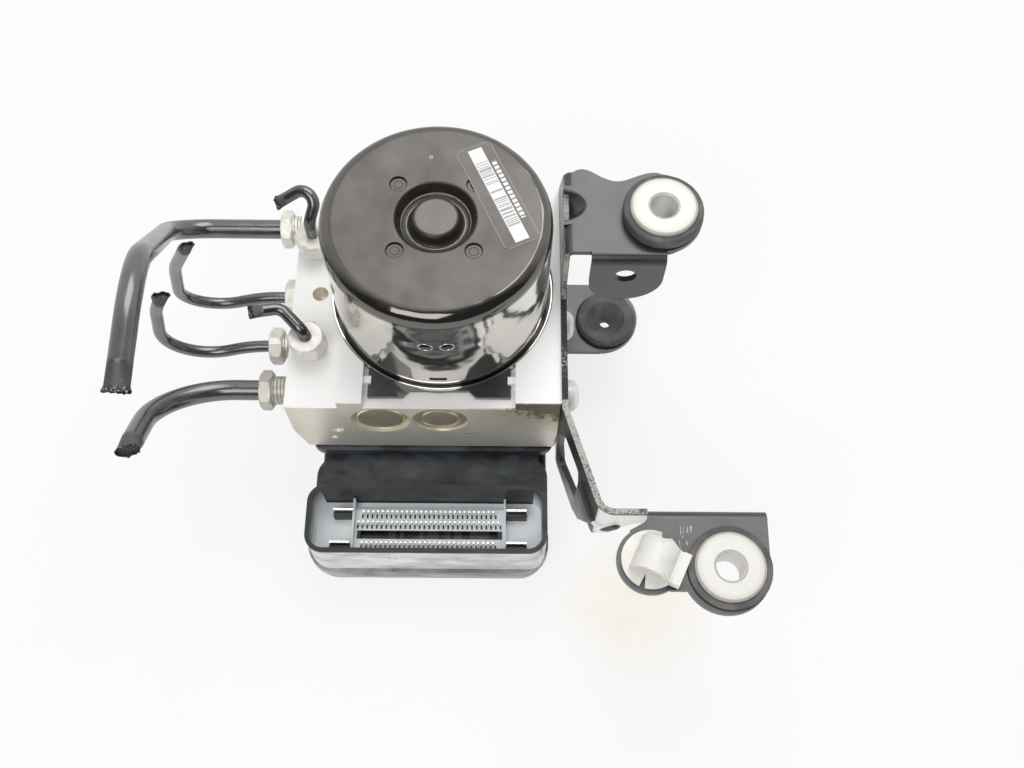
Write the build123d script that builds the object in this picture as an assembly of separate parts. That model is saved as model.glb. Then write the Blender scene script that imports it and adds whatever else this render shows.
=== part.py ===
from build123d import *
import math
import os

# Anti-lock brake hydraulic unit. Millimetres, +Z up. The origin is on the floor, on the motor's axis.
# +X points to the mounting bracket and -Y to the electrical connector.

# Clearances
fit_gap = 0.05              # radial gap of a threaded or pushed-in piece
running_gap = 0.03          # radial gap of the turning shaft

# Control unit under the block
cover_height = 9.0
cover_wall = 2.4
cover_inset = 1.2           # how far the cover stays inside the housing's base flange
ecu_left = 60.0             # its wide front end, under the connector
ecu_right = 46.8
ecu_front = 105.0
ecu_corner = 13.0
ecu_step_y = -76.0          # behind this the unit is narrower
body_left = 56.0
body_right = 46.0
body_rear = 47.0
body_corner = 12.0
shelf_rear = -56.0          # the wide shelf beside the connector ends here
shelf_corner = 9.0
back_left = 50.0            # the body behind the shelf
back_right = 42.0
ecu_flange_height = 7.0
housing_height = 28.0
housing_wall = 2.6
seal_height = 5.5           # height of the rim that meets the block
seal_left = 58.0
seal_right = 48.4
seal_front = 55.6
seal_corner = 6.0
neck_left = 47.5
neck_right = 39.5
board_thick = 1.6
board_gap = 1.5
board_room_inset = 4.0
gasket_thick = 1.0

# Connector shroud
shroud_left = 57.2
shroud_right = 45.2
shroud_front = 103.6
shroud_rear = 73.4
shroud_rim_z = 42.0
shroud_wall = 2.0
shroud_corner = 8.0
shroud_depth = 18.0
shroud_floor = 3.0
divider_x = (-38.6, 27.3)
divider_height = 6.5
divider_thick = 0.9
pin_size = 0.64
pin_height = 6.5
pin_pitch = 2.085
pin_rows = ((-34.0, -82.6, 28), (-36.0, -87.3, 30), (-34.0, -96.4, 28))   # first pin's x, row's y, number of pins
pin_bed_height = 2.0
key_slot_y = (-93.0, -89.4)
blade_width = 8.6
blade_thick = 0.8
blade_height = 8.0
blade_places = ((-43.0, -81.6), (-43.8, -96.2), (32.4, -81.6), (32.4, -96.2))
window_places = (-20.3, 9.0)
window_width = 3.8
window_height = 4.2
window_rise = 7.5

# Hydraulic block
block_left = 63.5
block_right = 50.0
block_front = 53.6
block_rear = 50.0
block_height = 46.0
pocket_depth = 5.0
pocket_half_width = 31.2
strip_edge = 41.5           # the low top face runs from here to the block's left side
chamfer_left = (4.5, 18.0)
chamfer_right = (1.2, 14.0)
stake_size = 3.2
stake_height = 1.3

# Motor
motor_diameter = 90.0
motor_height = 57.8
can_wall = 2.0
can_shoulder = 5.6
can_flange_width = 1.5
can_flange_thick = 2.0
boss_radius = 9.6
boss_round = 2.0
recess_depth = 5.0
recess_floor_radius = 13.0
recess_rim_radius = 15.7
dimple_circle = 20.95
dimple_radius = 3.3
dimple_depth = 0.7
louvre_radius = 2.7
louvre_height = 37.0        # above the can's foot
louvre_x = (-3.5, 4.8)
drain_size = (7.0, 2.4)
drain_height = 7.2
plate_thick = 2.0
plate_reach = 49.2
plate_half_width = 29.3
plate_dip_half_width = 12.0
plate_dip = 3.0
plate_side_depth = 37.0
magnet_thick = 5.0
magnet_height = 36.0
magnet_angle = 62.0
air_gap = 1.2
core_height = 28.0
slot_count = 12
slot_depth = 12.0
slot_width = 6.0
slot_mouth = 2.0
shaft_radius = 4.0
winding_height = 5.5
commutator_radius = 11.0
commutator_height = 9.0
commutator_bars = 12
brush_plate_thick = 2.5
brush_size = (5.0, 10.0, 4.5)
top_bearing_height = 5.0
foot_bearing_radius = 13.0
foot_bearing_height = 6.0
tip_bearing_radius = 6.5
tip_bearing_height = 4.0

# Eccentric drive and pumps
pump_height = 29.0          # of the pump axis above the block's foot
eccentric_offset = 1.2
eccentric_radius = 6.5
eccentric_height = 11.0
ring_radius = 10.0
chamber_radius = 12.5
plunger_radius = 3.5
plunger_length = 26.0
plunger_rest_gap = 0.2      # between a plunger at its outer dead centre and the ring
sleeve_radius = 7.5
sleeve_length = 28.0
pump_plug_radius = 11.6
plug_recess = 0.8
plug_depth = 5.0
plug_groove_radius = 7.7
plug_groove = 1.0

# Low-pressure accumulators
store_x = -25.0
store_drop = 0.6            # how far their axis lies under the pump axis
store_cap_radius = 12.3
store_bore_radius = 9.9
store_bore_length = 29.0
store_piston_length = 8.0
store_plateau_radius = 10.0
ring_groove = 1.2
spring_radius = 7.2
spring_wire = 0.9
spring_turns = 4

# Solenoid valves
valve_columns = (-36.4, -15.1, 6.1, 27.4)
valve_rows = (-31.0, -3.0, 25.0)
valve_radius = 5.5
valve_depth = 14.0
dome_radius = 3.6
dome_height = 19.0
coil_radius = 9.4
coil_height = 16.0
coil_flange = 1.5

# Ports, nuts and pipes
port_height = 25.0          # of the side ports' axes above the block's foot
port_depth = 11.0
large_pipe_radius = 4.35
small_pipe_radius = 2.55
pipe_wall = 1.0
large_nut = (15.0, 5.2, 6.0)    # across flats, hexagon length, thread radius
small_nut = (14.0, 5.6, 5.0)
tall_nut = (14.0, 9.0, 5.0)
large_ports = ((41.9, 6.2), (-38.7, 8.0))    # y, thread showing outside the block
small_ports = ((6.4, 0.6), (-17.7, 5.4))
top_ports = ((-54.7, -27.0), (-55.7, 21.8))
top_thread_showing = 3.0
nut_turn = -6.0
spare_bore = (-52.3, -0.5)
spare_bore_radius = 3.4
spare_bore_depth = 9.0
drill_marks = ((-44.5, 18.5, 3.0), (-47.1, 9.5, 1.8))     # x, height above the block's foot, radius
drill_mark_depth = 0.9

# Mounting bracket
sheet = 2.5
fold_outside = 4.0          # outside radius of its folds
wall_front = 55.5
wall_rear = 50.0
wall_foot_z = 25.0
wall_top_z = 85.0
flange_top_z = 116.0
flange_y = (-1.5, 36.5)     # the upper flange's width along the wall
wall_notch = 5.0
low_flange_y = (-2.0, 34.0)
strap_turn = (64.0, -100.2)       # where the strap's left face turns into the arm's front face
strap_overlap = 8.0         # how far the strap starts behind its first bend
strap_bends = (6.0, 8.0)          # radii of the strap's left face at its two bends
strap_foot = ((0, 25), (3, 23.5), (23, 23.5), (30, 29), (39, 50))    # lower edge: distance along the strap, height
slot_outline = ((0.8, 58.5), (7.3, 69.5), (23.2, 70.3), (24.6, 60.0), (23.4, 40.0), (4.8, 34.0), (1.4, 46.0))
slot_round = 1.8
arm_height = 11.5
arm_foot = ((62.0, 51.0), (72.0, 67.0), (78.0, 73.5))      # lower edge of the arm past the bend: x, height
arm_end_x = 128.3
front_flange_x = 82.3
bead_radius = 2.8
bead_sunk = 1.4             # how far the bead's centre lies behind the sheet's face
bead_z = (66.0, 63.5, 70.0)  # at its start, at the bend and at its end
bead_start = 28.0
bead_end_x = 71.0
rear_mount = (89.7, 15.8)
low_mount = (74.3, 14.3)
front_mount = (112.3, -121.0)
clip_place = (82.7, -118.0)
rear_lobe = (88.0, 17.5)
low_lobe = (71.6, 16.0)
front_lobe = (111.1, -121.8)
rear_outline = ((54.0, 36.5), (59.0, 37.9), (65.5, 34.4), (72.5, 32.2), (80.0, 34.6), (90.0, 36.3))
tab_x = (61.0, 90.9)        # the tab's left and right edges
tab_rounds = (12.0, 16.0)   # of its lower corners
tab_drop = 31.0             # from the upper flange's top to the tab's lower edge
tab_face_y = -5.5
tab_hole_x = 75.3
tab_hole_drop = 12.0
tab_hole_radius = 4.4
rear_lobe_radius = 18.6
front_lobe_radius = 16.8
clip_lobe_radius = 13.1
low_lobe_radius = 17.8
mount_hole_radius = 10.5
clip_hole_radius = 3.4
dart_y = 20.5
dart_depth = 9.0            # how far down the wall and across the flange the dart reaches
dart_radius = 7.0
dart_round = 1.2            # of the dart's rim on the flange
bolt_places = ((-42.8, 31.0), (2.2, 8.6))     # y, height above the block's foot
bolt_head_radius = 6.8
bolt_head_height = 5.7
bolt_shank_radius = 3.0
bolt_grip = 12.0

# Rubber mounts and their sleeves
rubber_radius = 16.2
rubber_foot_radius = 13.5
rubber_foot_height = 7.0
rear_rubber_height = 5.6
front_rubber_height = 1.4
washer_radius = 13.5
washer_thick = 1.6
sleeve_bore_radius = 5.5
sleeve_tube_radius = 7.6
grommet_radius = 14.0
grommet_height = 3.6
grommet_bore_radius = 2.6

# Cable clip
clip_disc_radius = 11.4
clip_disc_thick = 1.4
saddle_length = 15.0
saddle_radius = 8.0
saddle_wall = 1.6
saddle_width = 13.0
saddle_turn = -25.0

# Screws of the control unit
screw_radius = 2.5
screw_head_radius = 4.5
screw_head_height = 3.2
screw_grip = 10.0
screw_places = ((-41.0, -48.2), (-41.0, 40.0), (35.0, -48.2), (35.0, 40.0))
screw_seat_z = 4.7          # under the heads, in the cover
coil_room = (-46.3, 37.6, -42.0, 36.0)

# Levels and places that follow from the sizes above
block_z = cover_height + housing_height
block_top = block_z + block_height
pocket_z = block_top - pocket_depth
can_z = pocket_z + plate_thick
can_top = can_z + motor_height
motor_radius = motor_diameter / 2
pump_z = block_z + pump_height
store_z = pump_z - store_drop
port_z = block_z + port_height
shroud_floor_z = shroud_rim_z - shroud_depth
board_z = cover_height + board_gap


def box(x0, x1, y0, y1, z0, z1):
    """Box between two corners."""
    return Pos((x0 + x1) / 2, (y0 + y1) / 2, (z0 + z1) / 2) * Box(x1 - x0, y1 - y0, z1 - z0)


def slab(x0, x1, y0, y1, z0, z1, corner):
    """Box with rounded upright edges."""
    outline = RectangleRounded(x1 - x0, y1 - y0, corner)
    return Pos((x0 + x1) / 2, (y0 + y1) / 2, z0) * extrude(outline, z1 - z0)


def rod(radius, start, length, direction=(0, 0, 1)):
    """Round rod from a point along a direction."""
    return Plane(origin=start, z_dir=direction) * extrude(Circle(radius), length)


def tube(radius, bore, start, length, direction=(0, 0, 1)):
    """Round tube from a point along a direction."""
    return Plane(origin=start, z_dir=direction) * extrude(Circle(radius) - Circle(bore), length)


def turned(*points):
    """Solid turned about Z from a closed outline of (radius, height) points."""
    return revolve(Plane.XZ * make_face(Polyline(*points, close=True)), Axis.Z)


def save(node, *solids):
    """Write the solids of one node to its STEP file."""
    shape = solids[0] if len(solids) == 1 else Compound(children=list(solids))
    export_step(shape, f"parts/{node}.step")


def can_skin(inset):
    """Solid inside one skin of the motor can, moved inwards by the inset."""
    top = can_top - inset
    floor = top - recess_depth
    neck = boss_radius - inset
    path = FilletPolyline(
        (0, top), (neck, top), (neck, floor), (recess_floor_radius + inset, floor),
        (recess_rim_radius + inset, top), (motor_radius - inset, top), (motor_radius - inset, can_z),
        radius=[boss_round if inset == 0 else 0.5, boss_round if inset == 0 else 0.5,
                1.2, 1.2, can_shoulder - inset],
    )
    closing = Polyline((motor_radius - inset, can_z), (0, can_z), (0, top))
    return revolve(Plane.XZ * make_face(path + closing), Axis.Z)


def motor_can():
    """Drawn steel can with a bearing boss, stake dimples, louvres and a foot flange."""
    can = can_skin(0) - can_skin(can_wall)
    can += tube(motor_radius + can_flange_width, motor_radius - can_wall, (0, 0, can_z), can_flange_thick)
    for place in PolarLocations(dimple_circle, 4, start_angle=45):
        can -= place * Pos(0, 0, can_top - dimple_depth) * Cylinder(
            dimple_radius, 2 * dimple_depth, align=(Align.CENTER, Align.CENTER, Align.MIN))
    for x in louvre_x:
        hole = rod(louvre_radius, (x, -motor_radius - 1, can_z + louvre_height), 5, (0, 1, 0))
        can -= hole & box(x - 5, x + 5, -60, 0, can_z + louvre_height, can_z + louvre_height + 5)
    width, height = drain_size
    can -= box(-width / 2, width / 2, -motor_radius - 1, -motor_radius + 5,
               can_z + drain_height, can_z + drain_height + height)
    return can


def motor_plate():
    """Flat plate under the can, with two ears at the front and two at the rear."""
    ear = Polyline(
        (-plate_half_width, 0), (-plate_half_width, plate_side_depth), (-plate_half_width, plate_reach),
        (-plate_dip_half_width - plate_dip, plate_reach), (-plate_dip_half_width, plate_reach - plate_dip),
        (plate_dip_half_width, plate_reach - plate_dip), (plate_dip_half_width + plate_dip, plate_reach),
        (plate_half_width, plate_reach), (plate_half_width, 0), close=True)
    half = extrude(make_face(ear), plate_thick)
    plate = rod(motor_radius + can_flange_width, (0, 0, 0), plate_thick) + half + mirror(half, Plane.XZ)
    plate -= box(-100, 100, block_rear - 0.5, block_rear + 50, -1, 5)
    plate -= rod(foot_bearing_radius + fit_gap, (0, 0, -1), plate_thick + 2)
    for side in (-1, 1):
        for end in (-1, 1):
            plate -= Pos(side * plate_half_width, end * (plate_side_depth + 5), plate_thick / 2) * Box(
                2.4, stake_size + 0.2, 2 * plate_thick)
    return Pos(0, 0, pocket_z) * plate


def magnets():
    """Four ferrite segments on the can's inner wall."""
    outer = motor_radius - can_wall
    foot = can_z + 15
    ring = tube(outer, outer - magnet_thick, (0, 0, foot), magnet_height)
    segments = []
    for turn in range(4):
        wedge = Rot(0, 0, 90 * turn) * Pos(0, 0, foot) * extrude(
            make_face(Polyline((0, 0), (100, -100 * math.tan(math.radians(magnet_angle / 2))),
                               (100, 100 * math.tan(math.radians(magnet_angle / 2))), close=True)), magnet_height)
        segments.append(ring & wedge)
    return segments


core_radius = motor_radius - can_wall - magnet_thick - air_gap
core_z = can_z + 19
slot_floor = core_radius - slot_depth
commutator_z = can_z + 5.5


def armature_core():
    """Laminated core with open slots between its teeth."""
    core = tube(core_radius, shaft_radius, (0, 0, core_z), core_height)
    slot = box(slot_floor, core_radius - 2, -slot_width / 2, slot_width / 2, core_z, core_z + core_height)
    slot += box(core_radius - 3, core_radius + 1, -slot_mouth / 2, slot_mouth / 2, core_z, core_z + core_height)
    for turn in range(slot_count):
        core -= Rot(0, 0, 360 / slot_count * turn) * slot
    return core


def windings():
    """Copper in the core's slots, joined by the end turns above and below."""
    inner = slot_floor
    outer = core_radius - 2
    coils = tube(outer, inner, (0, 0, core_z - winding_height), winding_height)
    coils += tube(outer, inner, (0, 0, core_z + core_height), winding_height)
    coils = fillet(coils.edges().filter_by(GeomType.CIRCLE), winding_height / 3)
    bar = box(inner + 0.1, outer - 0.1, -slot_width / 2 + 0.1, slot_width / 2 - 0.1,
              core_z - 1, core_z + core_height + 1)
    for turn in range(slot_count):
        coils += Rot(0, 0, 360 / slot_count * turn) * bar
    return coils


def commutator():
    """Ring of copper bars on the shaft."""
    drum = tube(commutator_radius, shaft_radius, (0, 0, commutator_z), commutator_height)
    groove = box(commutator_radius - 2, commutator_radius + 1, -0.4, 0.4, commutator_z, commutator_z + commutator_height)
    for turn in range(commutator_bars):
        drum -= Rot(0, 0, 360 / commutator_bars * (turn + 0.5)) * groove
    return drum


eccentric_z = pump_z - eccentric_height / 2
shaft_foot_z = eccentric_z - tip_bearing_height - 1
shaft_top_z = can_top - can_wall - 0.5


def motor_shaft():
    """Shaft with its eccentric journal for the pumps."""
    shaft = rod(shaft_radius, (0, 0, shaft_foot_z), shaft_top_z - shaft_foot_z)
    shaft += rod(eccentric_radius, (eccentric_offset, 0, eccentric_z), eccentric_height)
    return chamfer(shaft.edges().filter_by(GeomType.CIRCLE).group_by(Axis.Z)[-1], 0.6)


def eccentric_ring():
    """Outer ring of the needle bearing on the eccentric."""
    ring = tube(ring_radius, eccentric_radius, (eccentric_offset, 0, eccentric_z), eccentric_height)
    return chamfer(ring.edges().filter_by(GeomType.CIRCLE), 0.5)


def shaft_bearings():
    """Bearings in the can's boss, in the block's mouth and at the shaft's foot."""
    bore = shaft_radius + running_gap
    top_z = can_top - can_wall - top_bearing_height
    tip_z = shaft_foot_z
    rings = [
        tube(boss_radius - can_wall, bore, (0, 0, top_z), top_bearing_height - 0.3),
        tube(foot_bearing_radius, bore, (0, 0, pocket_z - foot_bearing_height), foot_bearing_height + 1),
        tube(tip_bearing_radius, bore, (0, 0, tip_z), tip_bearing_height),
    ]
    return [chamfer(ring.edges().filter_by(GeomType.CIRCLE), 0.3) for ring in rings]


brush_plate_z = can_z + 1.0


def brush_holder():
    """Plastic plate in the can's foot that guides the two brushes."""
    outer = motor_radius - can_wall
    holder = tube(outer, commutator_radius + 3, (0, 0, brush_plate_z), brush_plate_thick)
    holder += tube(outer, outer - 2, (0, 0, brush_plate_z), 12)
    width, length, height = brush_size
    floor = brush_plate_z + brush_plate_thick
    for side in (-1, 1):
        guide = Pos(side * (commutator_radius + 6 + length / 2), 0, floor + height / 2 + 1) * (
            Box(length, width + 3, height + 2) - Box(length + 1, width + 0.2, height + 0.2))
        holder += guide
    return holder


def brushes():
    """Two carbon brushes that reach the commutator."""
    width, length, height = brush_size
    middle = brush_plate_z + brush_plate_thick + height / 2 + 1
    reach = length + 5
    return [Pos(side * (commutator_radius + running_gap + reach / 2), 0, middle) * Box(reach, width, height)
            for side in (-1, 1)]


def block_profile():
    """Front outline of the block, with its chamfered foot corners."""
    left_in, left_up = chamfer_left
    right_in, right_up = chamfer_right
    return Plane.XZ * make_face(Polyline(
        (-block_left, block_top), (-block_left, block_z + left_up), (-block_left + left_in, block_z),
        (block_right - right_in, block_z), (block_right, block_z + right_up), (block_right, block_top), close=True))


def face_bore(radius, depth, x, z, side):
    """Round bore from the front face (side -1) or the rear face (side 1)."""
    face = -block_front if side < 0 else block_rear
    return rod(radius, (x, face + side, z), depth + 1, (0, -side, 0))


def hydraulic_block():
    """Milled and drilled aluminium block."""
    block = Pos(0, block_rear, 0) * extrude(block_profile(), block_front + block_rear)
    block = chamfer(block.edges().filter_by(Axis.Z), 0.6)
    block -= box(-block_left - 1, -strip_edge, -block_front - 1, block_rear + 1, pocket_z, block_top + 1)
    pocket = box(-pocket_half_width, pocket_half_width, -block_front - 1, block_rear + 1, pocket_z, block_top + 1)
    pocket += rod(motor_radius + can_flange_width + 0.6, (0, 0, pocket_z), pocket_depth + 1)
    block -= pocket
    for side in (-1, 1):
        for end in (-1, 1):
            block += Pos(side * (pocket_half_width - stake_size / 2 + 0.5), end * (plate_side_depth + 5),
                         can_z + stake_height / 2) * Box(stake_size + 1, stake_size, stake_height)
            block += box(min(side * pocket_half_width, side * (plate_half_width - 1)),
                         max(side * pocket_half_width, side * (plate_half_width - 1)),
                         end * (plate_side_depth + 5) - stake_size / 2, end * (plate_side_depth + 5) + stake_size / 2,
                         pocket_z, can_z)
    block -= rod(foot_bearing_radius + fit_gap, (0, 0, pocket_z - foot_bearing_height), foot_bearing_height + 1)
    block -= rod(chamber_radius, (0, 0, eccentric_z - 0.5), pocket_z - eccentric_z)
    block -= rod(tip_bearing_radius + fit_gap, (0, 0, shaft_foot_z - 0.5), tip_bearing_height + 2)
    for side in (-1, 1):
        reach = (block_front if side < 0 else block_rear)
        block -= face_bore(pump_plug_radius + fit_gap, plug_depth + plug_recess, 0, pump_z, side)
        block -= face_bore(sleeve_radius + fit_gap, reach - chamber_radius + 2, 0, pump_z, side)
        block -= face_bore(store_cap_radius + fit_gap, plug_depth + plug_recess, store_x, store_z, side)
        block -= face_bore(store_bore_radius, store_bore_length, store_x, store_z, side)
    for (_, _, thread), ports in ((large_nut, large_ports), (small_nut, small_ports)):
        for y, _ in ports:
            block -= rod(thread + fit_gap, (-block_left - 1, y, port_z), port_depth + 1, (1, 0, 0))
    for x, y in top_ports:
        block -= rod(tall_nut[2] + fit_gap, (x, y, pocket_z + 1), port_depth + 1, (0, 0, -1))
    block -= rod(spare_bore_radius, (*spare_bore, pocket_z + 1), spare_bore_depth + 1, (0, 0, -1))
    for x in valve_columns:
        for y in valve_rows:
            block -= rod(valve_radius + fit_gap, (x, y, block_z - 1), valve_depth + 1)
    for x, y in screw_places:
        block -= rod(screw_radius + fit_gap, (x, y, block_z - 1), screw_grip + 1.5)
    for y, height in bolt_places:
        block -= rod(bolt_shank_radius + fit_gap, (block_right + 1, y, block_z + height), bolt_grip + 2, (-1, 0, 0))
    for x, height, radius in drill_marks:
        block -= rod(radius, (x, -block_front - 1, block_z + height), 1 + drill_mark_depth, (0, 1, 0))
    return block


def pump_plugs():
    """Pressed-in plugs of the two pumps, with a ring groove round a flat centre."""
    plug = rod(pump_plug_radius, (0, 0, 0), plug_depth)
    plug -= tube(plug_groove_radius + plug_groove, plug_groove_radius, (0, 0, plug_depth - plug_groove), plug_groove)
    plug = chamfer(plug.edges().filter_by(GeomType.CIRCLE).group_by(Axis.Z)[-1], 0.4)
    return seat_in_faces(plug, 0, pump_z)


def store_caps():
    """Pressed-in caps of the two accumulators, with a raised centre."""
    cap = rod(store_cap_radius, (0, 0, 0), plug_depth - 1)
    cap += rod(store_plateau_radius, (0, 0, 0), plug_depth)
    cap = chamfer(cap.edges().filter_by(GeomType.CIRCLE).group_by(Axis.Z)[-1], 0.5)
    return seat_in_faces(cap, store_x, store_z)


def seat_in_faces(cap, x, z):
    """Copies of a cap, built outwards along +Z, in the block's front and rear bores."""
    front = Plane(origin=(x, -block_front + plug_depth + plug_recess, z), z_dir=(0, -1, 0)) * cap
    rear = Plane(origin=(x, block_rear - plug_depth - plug_recess, z), z_dir=(0, 1, 0)) * cap
    return [front, rear]


def pump_sleeves():
    """Cylinders that guide the pump plungers."""
    sleeves = []
    for side in (-1, 1):
        face = block_front if side < 0 else block_rear
        start = face - plug_depth - plug_recess
        sleeves.append(tube(sleeve_radius, plunger_radius + running_gap, (0, side * start, pump_z), sleeve_length,
                            (0, -side, 0)))
    return sleeves


def pump_plunger(side):
    """Plunger at its outer dead centre, just clear of the eccentric ring."""
    start = ring_radius + eccentric_offset + plunger_rest_gap
    return rod(plunger_radius, (0, side * start, pump_z), plunger_length, (0, side, 0))


def store_pistons():
    """Accumulator pistons at the empty end of their bores, with a seal groove."""
    piston = rod(store_bore_radius - fit_gap, (0, 0, 0), store_piston_length)
    piston -= tube(store_bore_radius, store_bore_radius - ring_groove,
                   (0, 0, store_piston_length / 2 - 1), 2)
    front = Plane(origin=(store_x, -block_front + store_bore_length, store_z), z_dir=(0, -1, 0)) * piston
    rear = Plane(origin=(store_x, block_rear - store_bore_length, store_z), z_dir=(0, 1, 0)) * piston
    return [front, rear]


def store_springs():
    """Coil springs between the accumulator pistons and their caps."""
    room = store_bore_length - store_piston_length - plug_depth - plug_recess
    pitch = (room - 2 * spring_wire - 0.2) / spring_turns
    path = Helix(pitch, pitch * spring_turns, spring_radius)
    wire = sweep(Plane(origin=path @ 0, z_dir=path % 0) * RegularPolygon(spring_wire, 6), path)
    start = spring_wire + 0.1
    front = Plane(origin=(store_x, -block_front + store_bore_length - store_piston_length - start, store_z),
                  z_dir=(0, -1, 0)) * wire
    rear = Plane(origin=(store_x, block_rear - store_bore_length + store_piston_length + start, store_z),
                 z_dir=(0, 1, 0)) * wire
    return [front, rear]


def valve_cartridges():
    """Solenoid valves: a body pressed into the block and a dome below it."""
    valves = []
    for x in valve_columns:
        for y in valve_rows:
            valve = rod(valve_radius, (x, y, block_z), valve_depth)
            valve += rod(dome_radius, (x, y, block_z - dome_height), dome_height)
            valves.append(valve)
    return valves


def solenoid_coils():
    """Coils that surround the valve domes."""
    top = block_z - 1.5
    coils = []
    for x in valve_columns:
        for y in valve_rows:
            coil = tube(coil_radius - 0.8, dome_radius + fit_gap, (x, y, top - coil_height), coil_height)
            for z in (top - coil_height, top - coil_flange):
                coil += tube(coil_radius, dome_radius + fit_gap, (x, y, z), coil_flange)
            coils.append(coil)
    return coils


def hex_nut(size, bore, showing):
    """Tube nut along +Z: hexagon first, then the threaded shank that enters the port."""
    flats, length, thread = size
    corner = flats / math.sqrt(3)
    hexagon = extrude(RegularPolygon(flats / 2, 6, major_radius=False), length)
    rounding = turned((0, 0), (flats / 2 - 0.2, 0), (corner, 1.0), (corner, length - 1.0), (flats / 2 - 0.2, length),
                      (0, length))
    shank = rod(thread, (0, 0, 0), length + showing + port_depth - 1)
    shank = chamfer(shank.edges().filter_by(GeomType.CIRCLE).group_by(Axis.Z)[-1], 0.8)
    return (hexagon & rounding) + shank - rod(bore, (0, 0, -1), length + showing + port_depth + 2)


def side_nuts(size, ports, bore):
    """Tube nuts in the block's left face."""
    nuts = []
    for y, showing in ports:
        start = -block_left - size[1] - showing
        nuts.append(Plane(origin=(start, y, port_z), z_dir=(1, 0, 0)) * hex_nut(size, bore, showing))
    return nuts


def top_nuts():
    """Tube nuts in the block's low top face."""
    nut = Rot(0, 0, nut_turn) * hex_nut(tall_nut, small_pipe_radius + fit_gap, top_thread_showing)
    start = pocket_z + tall_nut[1] + top_thread_showing
    return [Plane(origin=(x, y, start), x_dir=(1, 0, 0), z_dir=(0, 0, -1)) * nut for x, y in top_ports]


def pipe(radius, points, bends, pinch, pinch_length, spread):
    """Bent steel pipe whose cut end is pinched to an oval in the given direction."""
    path = FilletPolyline(*points, radius=bends)
    start = Vector(*points[1]) - Vector(*points[0])
    outer = sweep(Plane(origin=points[0], z_dir=start) * Circle(radius), path)
    inner = sweep(Plane(origin=points[0], z_dir=start) * Circle(radius - pipe_wall), path)
    end = Vector(*points[-1])
    along = (end - Vector(*points[-2])).normalized()
    mouth = Plane(origin=end, x_dir=pinch, z_dir=along)
    tip = mouth.offset(pinch_length)
    flat = loft([mouth * Circle(radius), tip * Ellipse(radius * spread, radius * 0.42)])
    return (outer - inner) + flat


pipe_start = -block_left + port_depth - 2
pipe_foot = pocket_z - port_depth + 3
pipe_routes = {     # radius, corner points, bend radii, direction of the pinched end's width, its length and spread
    "pipe_master_rear": (large_pipe_radius, (
        (pipe_start, 41.9, port_z), (-126.3, 41.9, port_z), (-101.5, -35.0, 162.0), (-103.0, -70.5, 155.0)),
        (17, 34), (1, 0.1, 0), 9, 1.06),
    "pipe_master_front": (large_pipe_radius, (
        (pipe_start, -38.7, port_z), (-119.4, -38.7, port_z), (-116.6, -75.1, 94.3)),
        (30.2,), (1, 0.2, 0.1), 7, 1.1),
    "pipe_wheel_side_rear": (small_pipe_radius, (
        (pipe_start, 6.4, port_z), (-80.0, 6.4, port_z), (-119.1, 5.0, 50.5), (-108.3, -1.6, 100.9),
        (-97.5, -7.0, 124.1)), (45, 17, 60), (1, 0.3, 0), 4, 1.15),
    "pipe_wheel_side_front": (small_pipe_radius, (
        (pipe_start, -17.7, port_z), (-83.3, -17.7, port_z), (-122.7, -21.8, 52.7), (-113.7, -20.8, 99.3),
        (-109.8, -21.5, 108.4)), (66, 20, 25), (1, 0.3, 0), 5, 1.4),
    "pipe_wheel_top_front": (small_pipe_radius, (
        (-54.7, -27.0, pipe_foot), (-54.7, -27.0, 93.3), (-64.5, -17.5, 96.3), (-71.3, -19.6, 98.1)),
        (4.5, 5), (0, 1, 0), 4, 1.15),
    "pipe_wheel_top_rear": (small_pipe_radius, (
        (-55.7, 21.8, pipe_foot), (-55.7, 21.8, 99.0), (-49.5, 35.0, 112.5), (-65.0, 30.9, 103.8)),
        (7, 5.2), (0, 1, 0.3), 4, 1.15),
}


def ecu_outline(inset, low, high):
    """Upright space of the control unit, moved inwards by the inset."""
    wide = slab(-ecu_left + inset, ecu_right - inset, -ecu_front + inset, ecu_step_y - inset, low, high,
                ecu_corner - inset)
    long = slab(-body_left + inset, body_right - inset, -ecu_front + 2 * ecu_corner, body_rear - inset, low, high,
                body_corner - inset)
    return wide + long + box(-body_left + inset, body_right - inset, -ecu_front + ecu_corner,
                             ecu_step_y + ecu_corner, low, high)


def ecu_cover():
    """Flat tray that closes the control unit from below."""
    cover = ecu_outline(cover_inset, 0, cover_height)
    cover = fillet(cover.faces().sort_by(Axis.Z)[0].edges(), 1.5)
    cover -= ecu_outline(cover_inset + cover_wall, cover_wall, cover_height + 1)
    for x, y in screw_places:
        cover += rod(screw_head_radius + 1.6, (x, y, cover_wall / 2), cover_height - cover_wall / 2)
    for x, y in screw_places:
        cover -= rod(screw_radius + 0.3, (x, y, -1), cover_height + 2)
        cover -= rod(screw_head_radius + 0.3, (x, y, -1), screw_seat_z + 1)
    return cover


def shroud_space(inset, floor, top):
    """Upright space of the connector shroud, moved inwards by the inset."""
    return slab(-shroud_left + inset, shroud_right - inset, -shroud_front + inset, -shroud_rear - inset,
                floor, top, shroud_corner - inset)


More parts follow.
